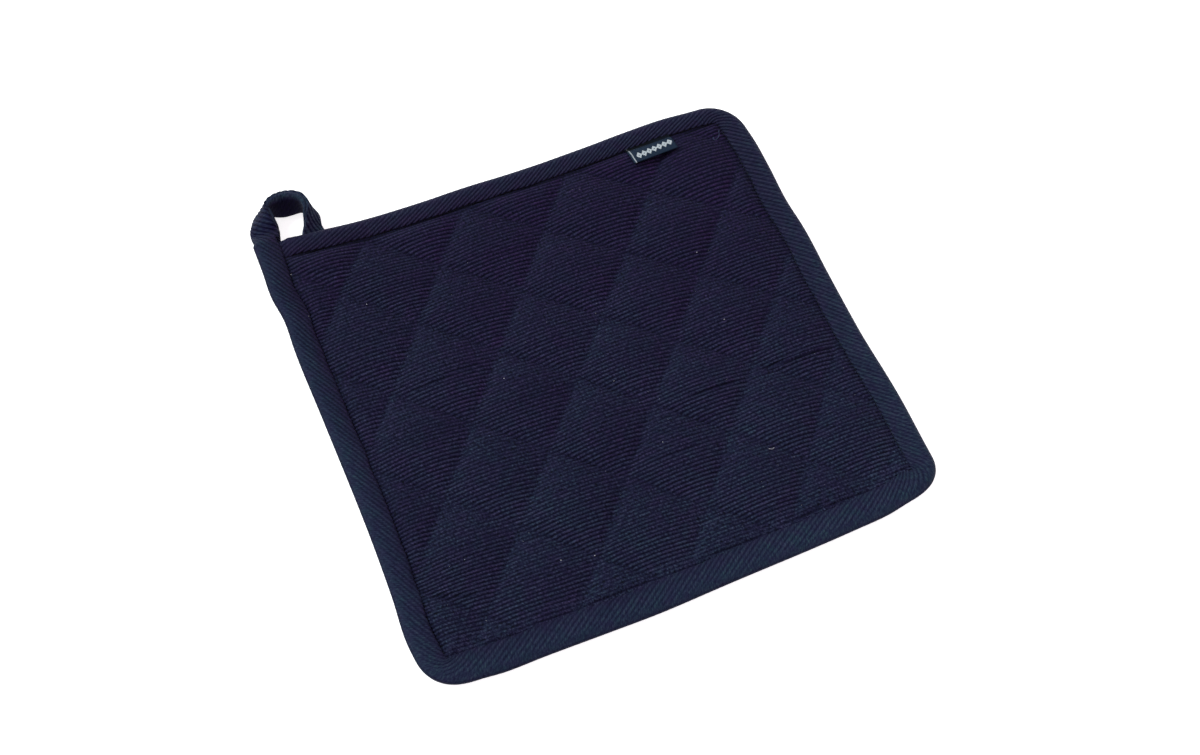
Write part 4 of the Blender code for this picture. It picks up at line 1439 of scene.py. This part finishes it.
def make_loose_ends(cloth):
    """The sewing thread's loose end at a corner of the seam, a pale fibre, and specks of lint."""
    blue = thread_material("Loose thread", cloth.loose_colour)
    pale = thread_material("Pale fibre", cloth.lint_colour)
    for name, places, width, material in (
        ("loose_thread", LOOSE_THREAD, 0.32, blue), ("pale_fibre", PALE_FIBRE, 0.22, pale),
    ):
        path = poly_curves(name, [on_cloth(places, width * STRAND_ABOVE)])
        made = apply_tree(path, "Strand", strand_tree, {"Width": width * MM, "Material": material})
        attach(made, BODY)
    random = np.random.default_rng(LINT_SEED)
    reach = np.array(LINT_DUST_REACH)
    dust = random.uniform(-reach, reach, (LINT_DUST, 2)).tolist()
    for name, places, size, seed in (("lint", LINT, 0.75, 3), ("lint_dust", dust, 0.30, 4)):
        mesh = bpy.data.meshes.new(name)
        mesh.from_pydata(on_cloth(places, size * TUFT_ABOVE), [], [])
        made = apply_tree(new_object(name, mesh), "Lint", lint_tree, {
            "Size": size * MM, "Seed": seed, "Material": pale,
        })
        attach(made, BODY)


# ---- stage ----

CAMERA_PLACE = (-0.13985, -0.24638, 0.56940)
CAMERA_TURN = (26.226, -3.051, -23.725)
SENSOR = 36.0
FLOOR_DROP = 0.0002
KEY_COLOUR = (0.84, 1.04, 1.0)
SKY_COLOUR = (1.08, 0.92, 1.0, 1.0)
# The sky's light by how far up it is: how much more at the top, and how much at the horizon.
SKY_LIGHT = (0.65, 0.57)


def make_stage(stage):
    half = stage.floor_size / 2
    mesh = bpy.data.meshes.new("floor")
    corners = [(-half, -half, 0), (half, -half, 0), (half, half, 0), (-half, half, 0)]
    mesh.from_pydata(corners, [], [(0, 1, 2, 3)])
    material, tree, shader = new_material("Pale floor")
    give(tree, shader, {
        "Base Color": (*stage.floor_colour, 1.0),
        "Roughness": 0.9,
        "Specular IOR Level": 0.0,
        "Emission Color": (1.0, 1.0, 1.0, 1.0),
        "Emission Strength": stage.floor_glow,
    })
    mesh.materials.append(material)
    floor = new_object("floor", mesh)
    floor.location.z = -FLOOR_DROP

    lamp = bpy.data.lights.new("key", "SUN")
    lamp.energy = stage.key_strength
    lamp.angle = stage.key_softness
    lamp.color = KEY_COLOUR
    key = new_object("key", lamp)
    key.rotation_euler = (math.radians(90) - stage.key_elevation, 0, stage.key_azimuth)

    world = bpy.data.worlds.new("Studio")
    world.use_nodes = True
    tree = world.node_tree
    sky = add_node(tree, "ShaderNodeTexCoord").outputs["Generated"]
    up = add_node(tree, "ShaderNodeSeparateXYZ", {0: sky}).outputs[2]
    strength = product(tree, maths(tree, "MULTIPLY_ADD", up, *SKY_LIGHT), stage.fill_strength)
    give(tree, tree.nodes["Background"], {"Color": SKY_COLOUR, "Strength": strength})
    bpy.context.scene.world = world
    bpy.context.scene.view_settings.view_transform = "Standard"

    lens = bpy.data.cameras.new("camera")
    lens.lens = stage.lens
    lens.sensor_width = SENSOR
    camera = new_object("camera", lens)
    camera.location = CAMERA_PLACE
    camera.rotation_euler = [math.radians(angle) for angle in CAMERA_TURN]
    bpy.context.scene.camera = camera


# ---- settings, operators and panel ----

class PotHolderCloth(bpy.types.PropertyGroup):
    """Sizes and colours of the ribbed cloth, the label and the threads."""
    rib_pitch: bpy.props.FloatProperty(
        name="Rib pitch", description="From one rib of the pad's cloth to the next", default=0.00156,
        unit="LENGTH")
    strip_pitch: bpy.props.FloatProperty(
        name="Strip rib pitch", description="From one rib of the strip's cloth to the next", default=0.0016,
        unit="LENGTH")
    rib_height: bpy.props.FloatProperty(
        name="Rib height", description="How deep the grooves between ribs are", default=0.00055,
        unit="LENGTH")
    pad_colour: bpy.props.FloatVectorProperty(
        name="Pad colour", description="Colour of the quilted cloth", default=(0.0083, 0.0043, 0.0256),
        subtype="COLOR", min=0, max=1)
    strip_colour: bpy.props.FloatVectorProperty(
        name="Strip colour", description="Colour of the bias strip and loop",
        default=(0.0088, 0.0054, 0.0246), subtype="COLOR", min=0, max=1)
    # Mixed in both for fading and for painted light.
    faded_and_lit_colour: bpy.props.FloatVectorProperty(
        name="Faded colour", description="Colour of both cloths where they are most faded",
        default=(0.0106, 0.0176, 0.0385), subtype="COLOR", min=0, max=1)
    label_colour: bpy.props.FloatVectorProperty(
        name="Label colour", description="Ground colour of the woven label",
        default=(0.0098, 0.0212, 0.0425), subtype="COLOR", min=0, max=1)
    figure_colour: bpy.props.FloatVectorProperty(
        name="Figure colour", description="Colour of the label's woven figures", default=(0.42, 0.47, 0.50),
        subtype="COLOR", min=0, max=1)
    thread_colour: bpy.props.FloatVectorProperty(
        name="Thread colour", description="Colour of the quilting thread", default=(0.0080, 0.0085, 0.0240),
        subtype="COLOR", min=0, max=1)
    loose_colour: bpy.props.FloatVectorProperty(
        name="Loose thread colour", description="Colour of the loose end at a corner of the seam",
        default=(0.045, 0.058, 0.110), subtype="COLOR", min=0, max=1)
    lint_colour: bpy.props.FloatVectorProperty(
        name="Lint colour", description="Colour of the pale fibre and the lint", default=(0.40, 0.41, 0.45),
        subtype="COLOR", min=0, max=1)


class PotHolderQuilting(bpy.types.PropertyGroup):
    """Sizes of the quilting."""
    puff_rise: bpy.props.FloatProperty(
        name="Puff rise", description="How far a diamond stands above its stitches", default=PUFF_RISE * MM,
        unit="LENGTH")
    stitch_length: bpy.props.FloatProperty(
        name="Stitch length", description="Length of one stitch", default=0.0024, unit="LENGTH")
    stitch_gap: bpy.props.FloatProperty(
        name="Stitch gap", description="From the end of a stitch to the next", default=0.0006, unit="LENGTH")
    thread_width: bpy.props.FloatProperty(
        name="Thread width", description="Thickness of the sewing thread", default=0.00030, unit="LENGTH")


class PotHolderStage(bpy.types.PropertyGroup):
    """Floor, lights and camera."""
    floor_size: bpy.props.FloatProperty(
        name="Floor size", description="Side of the floor", default=20.0, unit="LENGTH")
    floor_colour: bpy.props.FloatVectorProperty(
        name="Floor colour", description="Colour of the floor", default=(0.93, 0.93, 0.93), subtype="COLOR",
        min=0, max=1)
    floor_glow: bpy.props.FloatProperty(
        name="Floor glow", description="Light that the floor gives, to soften shadows on it", default=0.75)
    key_strength: bpy.props.FloatProperty(
        name="Key strength", description="Strength of the key light", default=2.15)
    key_softness: bpy.props.FloatProperty(
        name="Key softness", description="How wide the key light looks", default=math.radians(28),
        subtype="ANGLE")
    key_elevation: bpy.props.FloatProperty(
        name="Key elevation", description="Height of the key light above the floor",
        default=math.radians(49), subtype="ANGLE")
    key_azimuth: bpy.props.FloatProperty(
        name="Key azimuth", description="Side that the key light comes from", default=math.radians(228),
        subtype="ANGLE")
    fill_strength: bpy.props.FloatProperty(
        name="Fill strength", description="Strength of the light from all round", default=0.585)
    lens: bpy.props.FloatProperty(
        name="Lens", description="Focal length in millimetres", default=47.77)


class POTHOLDER_OT_pad(bpy.types.Operator):
    """Makes the quilted pad of ribbed cloth"""
    bl_idname = "pot_holder.pad"
    bl_label = "Quilted pad"

    def execute(self, context):
        make_pad(context.scene.pot_holder_cloth, context.scene.pot_holder_quilting)
        return {"FINISHED"}


class POTHOLDER_OT_strip(bpy.types.Operator):
    """Makes the bias strip and its hanging loop"""
    bl_idname = "pot_holder.strip"
    bl_label = "Bias strip and loop"

    def execute(self, context):
        make_strip(context.scene.pot_holder_cloth)
        return {"FINISHED"}


class POTHOLDER_OT_stitches(bpy.types.Operator):
    """Sews the quilting lines on the face and back of the pad"""
    bl_idname = "pot_holder.stitches"
    bl_label = "Quilting stitches"

    def execute(self, context):
        make_stitches(context.scene.pot_holder_cloth, context.scene.pot_holder_quilting)
        return {"FINISHED"}


class POTHOLDER_OT_label(bpy.types.Operator):
    """Makes the woven label in the top seam"""
    bl_idname = "pot_holder.label"
    bl_label = "Woven label"

    def execute(self, context):
        make_label(context.scene.pot_holder_cloth)
        return {"FINISHED"}


class POTHOLDER_OT_loose_ends(bpy.types.Operator):
    """Lays the loose thread, the fibre and the lint on the cloth"""
    bl_idname = "pot_holder.loose_ends"
    bl_label = "Loose ends and lint"

    def execute(self, context):
        make_loose_ends(context.scene.pot_holder_cloth)
        return {"FINISHED"}


class POTHOLDER_OT_stage(bpy.types.Operator):
    """Makes the floor, the lights and the camera"""
    bl_idname = "pot_holder.stage"
    bl_label = "Stage"

    def execute(self, context):
        make_stage(context.scene.pot_holder_stage)
        return {"FINISHED"}


class POTHOLDER_PT_panel(bpy.types.Panel):
    """Lists the pot holder's pieces and settings"""
    bl_idname = "POTHOLDER_PT_panel"
    bl_label = "Pot holder"
    bl_space_type = "VIEW_3D"
    bl_region_type = "UI"
    bl_category = "Pot holder"

    def draw(self, context):
        for operator in OPERATORS:
            self.layout.operator(operator.bl_idname)
        for group, holder in GROUPS.items():
            for name in group.__annotations__:
                self.layout.prop(getattr(context.scene, holder), name)


GROUPS = {
    PotHolderCloth: "pot_holder_cloth",
    PotHolderQuilting: "pot_holder_quilting",
    PotHolderStage: "pot_holder_stage",
}
OPERATORS = (
    POTHOLDER_OT_pad, POTHOLDER_OT_strip, POTHOLDER_OT_stitches, POTHOLDER_OT_label,
    POTHOLDER_OT_loose_ends, POTHOLDER_OT_stage,
)


def register():
    for group, name in GROUPS.items():
        bpy.utils.register_class(group)
        setattr(bpy.types.Scene, name, bpy.props.PointerProperty(type=group))
    for kind in (*OPERATORS, POTHOLDER_PT_panel):
        bpy.utils.register_class(kind)


def unregister():
    for kind in (POTHOLDER_PT_panel, *reversed(OPERATORS)):
        bpy.utils.unregister_class(kind)
    for group, name in reversed(GROUPS.items()):
        delattr(bpy.types.Scene, name)
        bpy.utils.unregister_class(group)


def main():
    register()
    bpy.ops.pot_holder.pad()
    bpy.ops.pot_holder.strip()
    bpy.ops.pot_holder.stitches()
    bpy.ops.pot_holder.label()
    bpy.ops.pot_holder.loose_ends()
    bpy.ops.pot_holder.stage()


if __name__ == "__main__":
    main()
